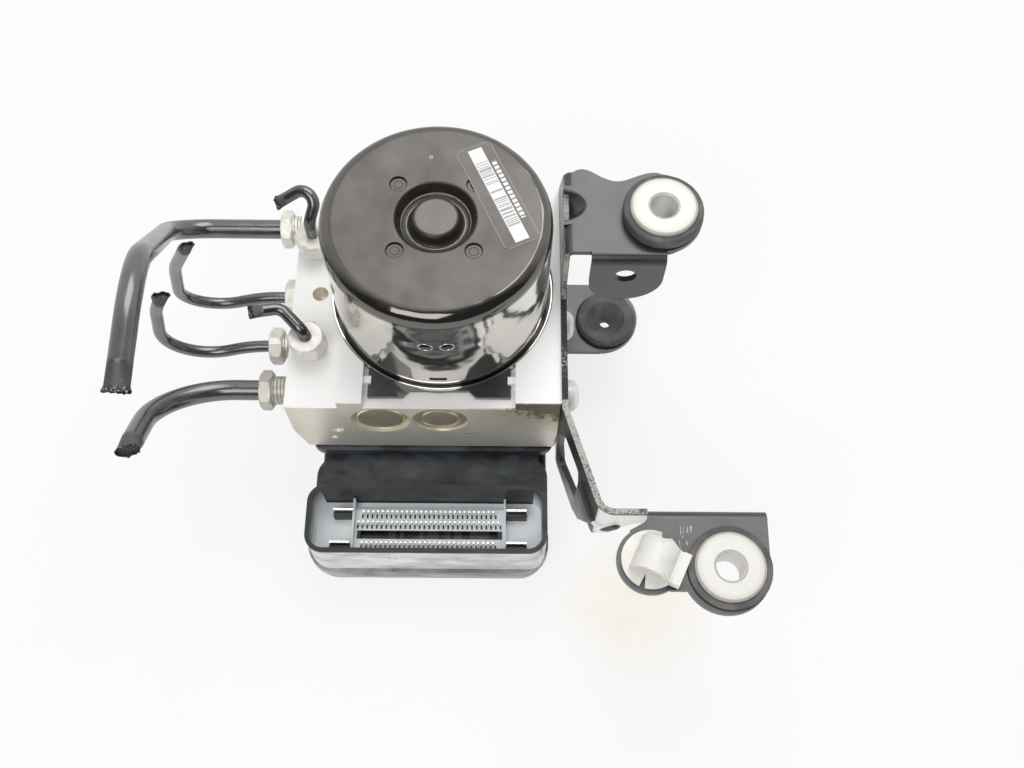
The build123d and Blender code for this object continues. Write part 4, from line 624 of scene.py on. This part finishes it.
dress(inner_finish("ground_steel", "#a9a9ab", "#cfcfd0", 1.5, 1.0, 0.25), "motor_shaft", "eccentric_ring",
      "shaft_bearings", "pump_sleeves", "pump_plunger_front", "pump_plunger_rear", "accumulator_pistons",
      "accumulator_springs", "ecu_screws", "valve_cartridges")
dress(inner_finish("laminated_core_steel", "#4f5052", "#6a6b6d", 0.5, 0.9, 0.45), "armature_core")
dress(inner_finish("enamelled_copper", "#8f4a22", "#b8693a", 0.8, 0.9, 0.3), "windings", "commutator")
dress(inner_finish("sintered_ferrite", "#2b2b2d", "#3a3a3c", 0.8, 0.0, 0.6), "magnets")
dress(inner_finish("phenolic_moulding", "#241f1b", "#332c26", 1.2, 0.0, 0.5), "brush_holder",
      "solenoid_coils")
dress(inner_finish("brush_carbon", "#1d1d1e", "#2c2c2e", 0.6, 0.1, 0.5), "brushes")
dress(inner_finish("tinned_contact", "#d9d7cf", "#f3f2ee", 0.8, 0.9, 0.25), "connector_pins", "power_blades")
dress(inner_finish("green_circuit_board", "#0f3d22", "#1b5a33", 2.0, 0.0, 0.35), "circuit_board")

# %% [markdown]
# ## Label
# A clear film with a printed strip sticks to the can's top. The film is modelled as a thin sheet with rounded
# corners. Clear film over enamel looks like the enamel, so the sheet takes the enamel's colour, a painted
# highlight along its edge, the white strip with its bars, and a row of white dashes beside it. The print is
# laid out along the film by a Mapping node.

# %% Printed film
STRIP_START = Vector((11.6, 29.9))       # two corners of the white strip, at one long edge
STRIP_END = Vector((30.5, -11.3))
STRIP_WIDTH = 5.7
FILM_BEFORE, FILM_AFTER = 1.6, 1.6       # film past the strip's two ends
FILM_LEFT, FILM_RIGHT = 4.7, 4.2         # film beside the strip's long edges
FILM_THICK = 0.12
FILM_CORNER = 1.8                        # radius of its corners
EDGE = 0.3                               # width of the film's edge, painted lighter as a highlight
BAR_STEP = 0.4                           # width of one step, which is inked or left white
WHITE_SHARE = 0.62                       # of the steps
BARS_FROM, BARS_TO = 0.15, 0.86          # shares of the strip's length
BAR_MARGIN = 0.3
DASH_STEP, DASH_LENGTH = 2.1, 1.5
DASHES_FROM, DASHES_TO = 0.17, 0.8       # shares of the strip's length
DASH_ROW = (0.8, 2.7)                    # how far past the strip the row begins and ends
along = (STRIP_END - STRIP_START).normalized()
strip_length = (STRIP_END - STRIP_START).length
film_turn = math.atan2(along.y, along.x)
print("strip", round(strip_length, 1), "mm long, turned", round(math.degrees(film_turn), 1), "degrees")


def printed_film():
    material, tree, place = begin("printed_polyester_film")
    moved = add(tree, "ShaderNodeMapping", {"Vector": place, "Location": (*STRIP_START, 0.0),
                                            "Rotation": (0.0, 0.0, film_turn)}, vector_type="TEXTURE")[0]
    u, v = add(tree, "ShaderNodeSeparateXYZ", {0: moved})[0:2]
    strip = zone(tree, (u, 0.0, strip_length), (v, 0.0, STRIP_WIDTH))
    bars = zone(tree, (u, BARS_FROM * strip_length, BARS_TO * strip_length),
                (v, BAR_MARGIN, STRIP_WIDTH - BAR_MARGIN))
    step = add(tree, "ShaderNodeMath", {0: u, 1: BAR_STEP}, operation="SNAP")[0]
    chance = add(tree, "ShaderNodeTexWhiteNoise", {"W": step}, noise_dimensions="1D")["Value"]
    ink = add(tree, "ShaderNodeMath", {0: chance, 1: WHITE_SHARE}, operation="GREATER_THAN")[0]
    inked = add(tree, "ShaderNodeMath", {0: ink, 1: bars}, operation="MULTIPLY")[0]
    paper = add(tree, "ShaderNodeMix", {0: inked, 6: "#efefee", 7: "#a9a9a8"}, data_type="RGBA")[2]
    dash_row = zone(tree, (u, DASHES_FROM * strip_length, DASHES_TO * strip_length),
                    (v, STRIP_WIDTH + DASH_ROW[0], STRIP_WIDTH + DASH_ROW[1]))
    phase = add(tree, "ShaderNodeMath", {0: u, 1: DASH_STEP}, operation="MODULO")[0]
    dash = add(tree, "ShaderNodeMath", {0: phase, 1: DASH_LENGTH}, operation="LESS_THAN")[0]
    dashes = add(tree, "ShaderNodeMath", {0: dash, 1: dash_row}, operation="MULTIPLY")[0]
    white = add(tree, "ShaderNodeMath", {0: strip, 1: dashes}, operation="MAXIMUM")[0]
    # painted highlight: a lighter band along the film's edge
    inner = zone(tree, (u, -FILM_BEFORE + EDGE, strip_length + FILM_AFTER - EDGE),
                 (v, -FILM_LEFT + EDGE, STRIP_WIDTH + FILM_RIGHT - EDGE))
    clear = add(tree, "ShaderNodeMix",
                {0: inner, 6: "#75726e", 7: aged_enamel(tree, place)}, data_type="RGBA")[2]
    colour = add(tree, "ShaderNodeMix", {0: white, 6: clear, 7: paper}, data_type="RGBA")[2]
    shine = add(tree, "ShaderNodeMapRange", {0: white, 3: 0.95, 4: 0.0})[0]
    end(tree, {"Base Color": colour, "Metallic": shine, "Roughness": 0.4})
    return material


def settle(name, material):
    """Put the active object's place into its mesh, name it, and give it its finish and its body."""
    piece = bpy.context.object
    piece.name = name
    bpy.ops.object.transform_apply(location=True, rotation=True, scale=True)
    piece.data.materials.clear()
    piece.data.materials.append(material)
    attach(piece, "base")
    print(name, len(piece.data.polygons), "faces")


film_length = strip_length + FILM_BEFORE + FILM_AFTER
film_width = STRIP_WIDTH + FILM_LEFT + FILM_RIGHT
across = Vector((-along.y, along.x))
half_along = along * (film_length / 2 - FILM_BEFORE)
half_across = across * (film_width / 2 - FILM_LEFT)
film_middle = (STRIP_START + half_along + half_across) * MM
bpy.ops.object.select_all(action="DESELECT")
bpy.ops.mesh.primitive_plane_add(size=1.0, location=(*film_middle, CAN_TOP * MM),
                                 rotation=(0, 0, film_turn))
bpy.context.object.scale = (film_length * MM, film_width * MM, 1)
bpy.ops.object.transform_apply(location=False, rotation=False, scale=True)
bpy.ops.object.mode_set(mode="EDIT")
bpy.ops.mesh.select_all(action="SELECT")
bpy.ops.mesh.bevel(affect="VERTICES", offset=FILM_CORNER * MM, segments=5)
bpy.ops.mesh.select_all(action="SELECT")
bpy.ops.mesh.extrude_region_move(TRANSFORM_OT_translate={"value": (0, 0, FILM_THICK * MM)})
bpy.ops.mesh.select_all(action="SELECT")
bpy.ops.mesh.normals_make_consistent(inside=False)
bpy.ops.object.mode_set(mode="OBJECT")
settle("label_film", printed_film())

# %% [markdown]
# ## Screw threads
# Between a nut's hexagon and the block a short stretch of thread shows, on every nut but one, which is
# screwed nearly home. One tooth is drawn as a bent edge and the Screw modifier winds it up. Such threads have
# a pitch of 1 mm, drawn as 1.5 mm so that the turns can be told apart.
# Both ends are cut flat and closed with bisect, where they meet the hexagon and the block.

# %% Thread helper
PITCH = 1.5
TOOTH = 0.7                         # height of a tooth
CREST = 0.25                        # how far the crests stand past the thread's radius
TURN_STEPS = 24                     # in one turn
SPARE_TURNS = 2                     # wound on for the two cuts
MERGE = 0.01                        # points nearer than this are merged


def thread(name, radius, length, place, turn, material):
    """Closed thread of a given length that starts at a place and runs along the turned Z axis."""
    bpy.ops.object.select_all(action="DESELECT")
    bpy.ops.mesh.primitive_plane_add(size=PITCH * MM, rotation=(math.pi / 2, 0, 0))
    piece = bpy.context.object
    bpy.ops.object.transform_apply(location=True, rotation=True, scale=True)
    bpy.ops.object.mode_set(mode="EDIT")
    bpy.ops.mesh.select_all(action="DESELECT")
    bpy.ops.object.mode_set(mode="OBJECT")
    for vertex in piece.data.vertices:
        vertex.select = vertex.co.x > 0
    bpy.ops.object.mode_set(mode="EDIT")
    bpy.ops.mesh.select_mode(type="VERT")
    bpy.ops.mesh.merge(type="CENTER")
    bpy.ops.mesh.select_all(action="SELECT")
    bpy.ops.mesh.delete(type="ONLY_FACE")
    bpy.ops.object.mode_set(mode="OBJECT")
    for edge in piece.data.edges:
        edge.select = all(piece.data.vertices[v].co.x < 0 for v in edge.vertices)
    for vertex in piece.data.vertices:
        vertex.select = False
    bpy.ops.object.mode_set(mode="EDIT")
    bpy.ops.mesh.select_mode(type="EDGE")
    bpy.ops.mesh.delete(type="EDGE")
    bpy.ops.mesh.select_all(action="SELECT")
    bpy.ops.transform.resize(value=(TOOTH / PITCH, 1, 1), center_override=(0, 0, 0))
    bpy.ops.transform.translate(value=((radius - TOOTH / 2 + CREST) * MM, 0, 0))
    bpy.ops.object.mode_set(mode="OBJECT")
    screw = piece.modifiers.new("turns", "SCREW")
    screw.screw_offset = PITCH * MM
    screw.steps = TURN_STEPS
    screw.render_steps = TURN_STEPS
    screw.iterations = math.ceil(length / PITCH) + SPARE_TURNS
    screw.use_merge_vertices = True
    screw.merge_threshold = MERGE * MM
    bpy.ops.object.modifier_apply(modifier=screw.name)
    bpy.ops.object.mode_set(mode="EDIT")
    bpy.ops.mesh.select_mode(type="VERT")
    bpy.ops.mesh.select_all(action="SELECT")
    bpy.ops.mesh.remove_doubles(threshold=MERGE * MM)
    for height, low in ((PITCH, True), (PITCH + length, False)):
        bpy.ops.mesh.select_all(action="SELECT")
        bpy.ops.mesh.bisect(plane_co=(0, 0, height * MM), plane_no=(0, 0, 1), use_fill=True,
                            clear_inner=low, clear_outer=not low)
    bpy.ops.mesh.select_all(action="SELECT")
    bpy.ops.transform.translate(value=(0, 0, -PITCH * MM))
    bpy.ops.mesh.normals_make_consistent(inside=False)
    bpy.ops.object.mode_set(mode="OBJECT")
    bpy.ops.object.shade_smooth_by_angle(angle=math.radians(25))
    piece.location = Vector(place) * MM
    piece.rotation_euler = turn
    settle(name, material)


# %% Threads at the nuts
BLOCK_LEFT = -63.5
PORT_Z = 62.0
LOW_TOP = 78.0
SIDE_THREADS = {"thread_master_rear": (41.9, 6.0, 6.2), "thread_master_front": (-38.7, 6.0, 8.0),
                "thread_wheel_side_front": (-17.7, 5.0, 5.4)}      # y, radius, length
TOP_THREADS = {"thread_wheel_top_front": (-54.7, -27.0), "thread_wheel_top_rear": (-55.7, 21.8)}     # x, y
TOP_RADIUS, TOP_LENGTH = 5.0, 3.0
thread_zinc = zinc_plating("thread_zinc_plating", "#a9a59a", "#d6d3ca", 0.6, 0.4)
for name, (port_y, radius, length) in SIDE_THREADS.items():
    thread(name, radius, length, (BLOCK_LEFT - length, port_y, PORT_Z), (0, math.pi / 2, 0), thread_zinc)
for name, (port_x, port_y) in TOP_THREADS.items():
    thread(name, TOP_RADIUS, TOP_LENGTH, (port_x, port_y, LOW_TOP), (0, 0, 0), thread_zinc)

# %% [markdown]
# ## Torn pipe ends
# The cutters leave a thin ragged lip round each flat end. A short open tube is squashed to the end's oval,
# its outer ring of points is moved at random with a fixed seed, and Solidify gives it a wall. It stands a
# little past the solid end, whose face lies in its shade like the crushed bore.

# %% Torn steel
def torn_steel():
    material, tree, place = begin("torn_steel")
    chips = add(tree, "ShaderNodeTexNoise",
                {"Vector": place, "Scale": 1 / 0.8, "Detail": 5.0, "Roughness": 0.7})["Fac"]
    bare = add(tree, "ShaderNodeMapRange", {0: chips, 1: 0.54, 2: 0.62})[0]
    colour = add(tree, "ShaderNodeMix", {0: bare, 6: "#161616", 7: "#a3a09a"}, data_type="RGBA")[2]
    shine = add(tree, "ShaderNodeMath", {0: bare, 1: 0.6}, operation="MULTIPLY")[0]
    relief = add(tree, "ShaderNodeBump", {"Height": chips, "Strength": 0.6, "Distance": 0.3 * MM})[0]
    end(tree, {"Base Color": colour, "Metallic": shine, "Roughness": 0.45, "Normal": relief})
    return material


LIP_LENGTH = 2.2
LIP_WALL = 0.5
LIP_AHEAD = 0.3                     # how far the lip's middle lies past the tip
RAGGED = 0.22                       # how far its points stray, in pipe radii
FIRST_SEED = 3
LIP_SIDES = 28
FLATNESS = 0.42                     # of the flat end, thickness to the pipe's diameter
OVERSIZE = 1.08                     # the lip is this much thicker than the flat end
FLARE = (1.04, 1.25, 1)             # how much its outer ring opens
torn = torn_steel()
for seed, (name, (corner, last, wide, _, pipe_radius, spread)) in enumerate(PIPE_ENDS.items()):
    along = (Vector(last) - Vector(corner)).normalized()
    sideways = (Vector(wide) - along * along.dot(Vector(wide))).normalized()
    frame_turn = Matrix((sideways, along.cross(sideways), along)).transposed()
    bpy.ops.object.select_all(action="DESELECT")
    bpy.ops.mesh.primitive_cylinder_add(vertices=LIP_SIDES, radius=pipe_radius * MM, depth=LIP_LENGTH * MM,
                                        end_fill_type="NOTHING")
    lip = bpy.context.object
    bpy.ops.object.mode_set(mode="EDIT")
    bpy.ops.mesh.select_all(action="SELECT")
    bpy.ops.transform.resize(value=(spread, FLATNESS * OVERSIZE, 1), center_override=(0, 0, 0))
    bpy.ops.mesh.select_all(action="DESELECT")
    bpy.ops.object.mode_set(mode="OBJECT")
    for vertex in lip.data.vertices:
        vertex.select = vertex.co.z > 0
    bpy.ops.object.mode_set(mode="EDIT")
    bpy.ops.mesh.select_mode(type="VERT")
    bpy.ops.transform.resize(value=FLARE, center_override=(0, 0, 0))
    bpy.ops.transform.vertex_random(offset=pipe_radius * RAGGED * MM, seed=seed + FIRST_SEED)
    bpy.ops.object.mode_set(mode="OBJECT")
    wall = lip.modifiers.new("wall", "SOLIDIFY")
    wall.thickness = LIP_WALL * MM
    wall.offset = -1.0
    bpy.ops.object.modifier_apply(modifier=wall.name)
    bpy.ops.object.mode_set(mode="EDIT")
    bpy.ops.mesh.select_all(action="SELECT")
    bpy.ops.mesh.normals_make_consistent(inside=False)
    bpy.ops.object.mode_set(mode="OBJECT")
    lip.matrix_world = Matrix.Translation((TIPS[name] + along * LIP_AHEAD) * MM) @ frame_turn.to_4x4()
    settle(name.replace("pipe", "torn_lip"), torn)

# %% [markdown]
# ## Louvre lips and blade feet
# Each louvre in the can was pushed in, which raised a lip round it: a thin ring, squashed to the hole's form.
# A black plastic foot stands in front of each power blade in the connector and steadies it.

# %% Louvre lips
LOUVRE_Z = 117.0
LOUVRE_X = (-3.5, 4.8)
LOUVRE_RADIUS = 2.75
LOUVRE_EDGE = 0.3                   # radius of the lip's own section
LOUVRE_SQUASH = 0.9                 # height to width
lip_steel = bpy.data.materials["black_enamel_drawn_steel"]
for number, place_x in enumerate(LOUVRE_X):
    bpy.ops.object.select_all(action="DESELECT")
    front_y = -math.sqrt(CAN_RADIUS ** 2 - place_x ** 2)
    middle = (place_x * MM, front_y * MM, LOUVRE_Z * MM)
    bpy.ops.mesh.primitive_torus_add(major_radius=LOUVRE_RADIUS * MM, minor_radius=LOUVRE_EDGE * MM,
                                     major_segments=32, minor_segments=8, location=middle,
                                     rotation=(math.pi / 2, 0, math.atan2(place_x, -front_y)))
    bpy.ops.object.mode_set(mode="EDIT")
    bpy.ops.mesh.select_all(action="SELECT")
    bpy.ops.transform.resize(value=(1, 1, LOUVRE_SQUASH), center_override=middle)
    bpy.ops.mesh.normals_make_consistent(inside=False)
    bpy.ops.object.mode_set(mode="OBJECT")
    bpy.ops.object.shade_smooth()
    settle("louvre_lip_" + str(number + 1), lip_steel)

# %% Blade feet
BLADES = ((-43.0, -81.6), (-43.8, -96.2), (32.4, -81.6), (32.4, -96.2))
FOOT = (9.2, 2.0, 5.6)              # width, depth and height
FOOT_GAP = 0.45                     # from the blade's middle to the foot's rear face
FOOT_EDGE = 0.35                    # width of its bevels
foot_plastic = inner_finish("black_moulded_nylon", "#0b0b0c", "#1b1c1e", 1.5, 0.0, 0.4)
for number, (blade_x, blade_y) in enumerate(BLADES):
    width, depth, height = FOOT
    middle = Vector((blade_x, blade_y - FOOT_GAP - depth / 2, SHROUD_FLOOR + height / 2)) * MM
    bpy.ops.object.select_all(action="DESELECT")
    bpy.ops.mesh.primitive_cube_add(size=1.0, location=middle, scale=(width * MM, depth * MM, height * MM))
    bpy.ops.object.transform_apply(location=False, rotation=False, scale=True)
    bpy.ops.object.mode_set(mode="EDIT")
    bpy.ops.mesh.select_all(action="SELECT")
    bpy.ops.mesh.bevel(affect="EDGES", offset=FOOT_EDGE * MM, segments=2)
    bpy.ops.object.mode_set(mode="OBJECT")
    settle("blade_foot_" + str(number + 1), foot_plastic)

# %% [markdown]
# ## Studio
# The unit lies on a pale table under a soft tent. One large soft light hangs behind and above it, so that
# flat tops shine, and another hangs in front and above, a little to the left, and fills the fronts. Table and
# tent look white to the eye and in gloss, but the light that falls on the unit stays plain. The table mixes
# this look with plain cloth, so a faint shadow stays on it. The tent is open at the front, and the dark room
# beyond shows in the can's shoulder and in the sides of the pipes.

# %% Floor
WARM_SPOT = (88.0, -113.0, 0.0)     # middle of a faint warm patch on the table
WARM_RADII = (40.0, 5.0)           # where it begins and where it is full
TABLE_GLOW = 0.8                    # share of white glow in its look, the rest is cloth
TABLE_SIZE = 6.0                    # metres


def seen_or_mirrored(tree):
    """1 for the camera's rays and for reflections, otherwise 0."""
    path = add(tree, "ShaderNodeLightPath")
    direct = add(tree, "ShaderNodeMath",
                 {0: path["Is Camera Ray"], 1: path["Is Glossy Ray"]}, operation="MAXIMUM")[0]
    return add(tree, "ShaderNodeMath", {0: direct, 1: path["Is Transmission Ray"]}, operation="MAXIMUM")[0]


def pale_table():
    material, tree, place = begin("pale_table")
    share = add(tree, "ShaderNodeMath", {0: seen_or_mirrored(tree), 1: TABLE_GLOW}, operation="MULTIPLY")[0]
    away = add(tree, "ShaderNodeVectorMath", {0: place, 1: WARM_SPOT}, operation="DISTANCE")["Value"]
    cloud = add(tree, "ShaderNodeTexNoise", {"Vector": place, "Scale": 1 / 14, "Detail": 3.0})["Fac"]
    spread = add(tree, "ShaderNodeMapRange", {0: away, 1: WARM_RADII[0], 2: WARM_RADII[1]})[0]
    warm = add(tree, "ShaderNodeMath", {0: spread, 1: cloud}, operation="MULTIPLY")[0]
    colour = add(tree, "ShaderNodeMix", {0: warm, 6: "#fdfdfd", 7: "#f6e8d2"}, data_type="RGBA")[2]
    cloth = add(tree, "ShaderNodeBsdfDiffuse", {"Color": colour})[0]
    glow = add(tree, "ShaderNodeEmission", {"Color": colour, "Strength": 1.0})[0]
    mixed = add(tree, "ShaderNodeMixShader", {0: share, 1: cloth, 2: glow})[0]
    add(tree, "ShaderNodeOutputMaterial", {"Surface": mixed})
    return material


bpy.ops.object.select_all(action="DESELECT")
bpy.ops.mesh.primitive_plane_add(size=TABLE_SIZE, location=(0, 0, 0))
floor = bpy.context.object
floor.name = "floor"
floor.data.materials.append(pale_table())

# %% World and lamps
AIM = Vector((0, 0, 0.08))          # the lamps look here, in metres


def soft_lamp(name, place, size, radiance):
    """Square soft lamp that looks at the unit; its power follows from its size and its brightness."""
    lamp = bpy.data.lights.new(name, "AREA")
    lamp.size = size
    lamp.energy = radiance * math.pi * size ** 2
    holder = bpy.data.objects.new(name, lamp)
    bpy.context.collection.objects.link(holder)
    toward = AIM - Vector(place)
    holder.matrix_world = Matrix.Translation(place) @ toward.to_track_quat("-Z", "Y").to_matrix().to_4x4()


TENT_LIGHT = 0.42                   # the light that the tent really gives
TENT_MOUTH = 0.06                   # how bright the open front of the tent looks
TENT_CLOTH = 0.95                   # and its cloth
MOUTH_EDGE = (-0.25, 0.35)          # the cloth begins between these directions, front to back
SKIRT = 0.08                        # from here down to the level it brightens to the same all round
world = bpy.data.worlds.new("tent")
bpy.context.scene.world = world
world.use_nodes = True
tent = world.node_tree
tent.nodes.clear()
toward = add(tent, "ShaderNodeTexCoord")["Generated"]
north, up = add(tent, "ShaderNodeSeparateXYZ", {0: toward})[1:3]
back = add(tent, "ShaderNodeMapRange", {0: north, 1: MOUTH_EDGE[0], 2: MOUTH_EDGE[1],
                                        3: TENT_MOUTH, 4: TENT_CLOTH})[0]
near_table = add(tent, "ShaderNodeMapRange", {0: up, 1: SKIRT, 2: 0.0, 3: 0.0, 4: TENT_CLOTH})[0]
wall = add(tent, "ShaderNodeMath", {0: back, 1: near_table}, operation="MAXIMUM")[0]
camera_ray = add(tent, "ShaderNodeLightPath")["Is Camera Ray"]
sky = add(tent, "ShaderNodeMath", {0: wall, 1: camera_ray}, operation="MAXIMUM")[0]
strength = add(tent, "ShaderNodeMix", {0: seen_or_mirrored(tent), 2: TENT_LIGHT, 3: sky})[0]
cloth = add(tent, "ShaderNodeBackground", {"Color": "#f8f9fa", "Strength": strength})[0]
add(tent, "ShaderNodeOutputWorld", {"Surface": cloth})
soft_lamp("back_soft_lamp", (0.2, 0.62, 1.25), 1.0, 2.8)
soft_lamp("front_soft_lamp", (-0.28, -0.75, 1.2), 0.8, 3.4)
bpy.context.scene.view_settings.view_transform = "Standard"

# %% [markdown]
# ## Camera
# The camera looks down steeply from the front, with a slight turn and roll of the hand that held it.

# %% Camera
CAMERA_PLACE = Vector((26.8, -230.8, 490.6)) * MM
DOWN, TURN, ROLL = math.radians(65.42), math.radians(-0.91), math.radians(1.31)
FOCAL_PIXELS = 1100.0
FRAME_PIXELS = 1024.0
forward = Matrix.Rotation(TURN, 3, "Z") @ Vector((0, math.cos(DOWN), -math.sin(DOWN)))
level = Matrix.Rotation(TURN, 3, "Z") @ Vector((1, 0, 0))
upward = level.cross(forward)
right = math.cos(ROLL) * level + math.sin(ROLL) * upward
up = -math.sin(ROLL) * level + math.cos(ROLL) * upward
lens = bpy.data.cameras.new("camera")
lens.sensor_width = 36.0
lens.lens = FOCAL_PIXELS / FRAME_PIXELS * lens.sensor_width
camera = bpy.data.objects.new("camera", lens)
bpy.context.collection.objects.link(camera)
turned = Matrix((right, up, -forward)).transposed().to_4x4()
camera.matrix_world = Matrix.Translation(CAMERA_PLACE) @ turned
bpy.context.scene.camera = camera
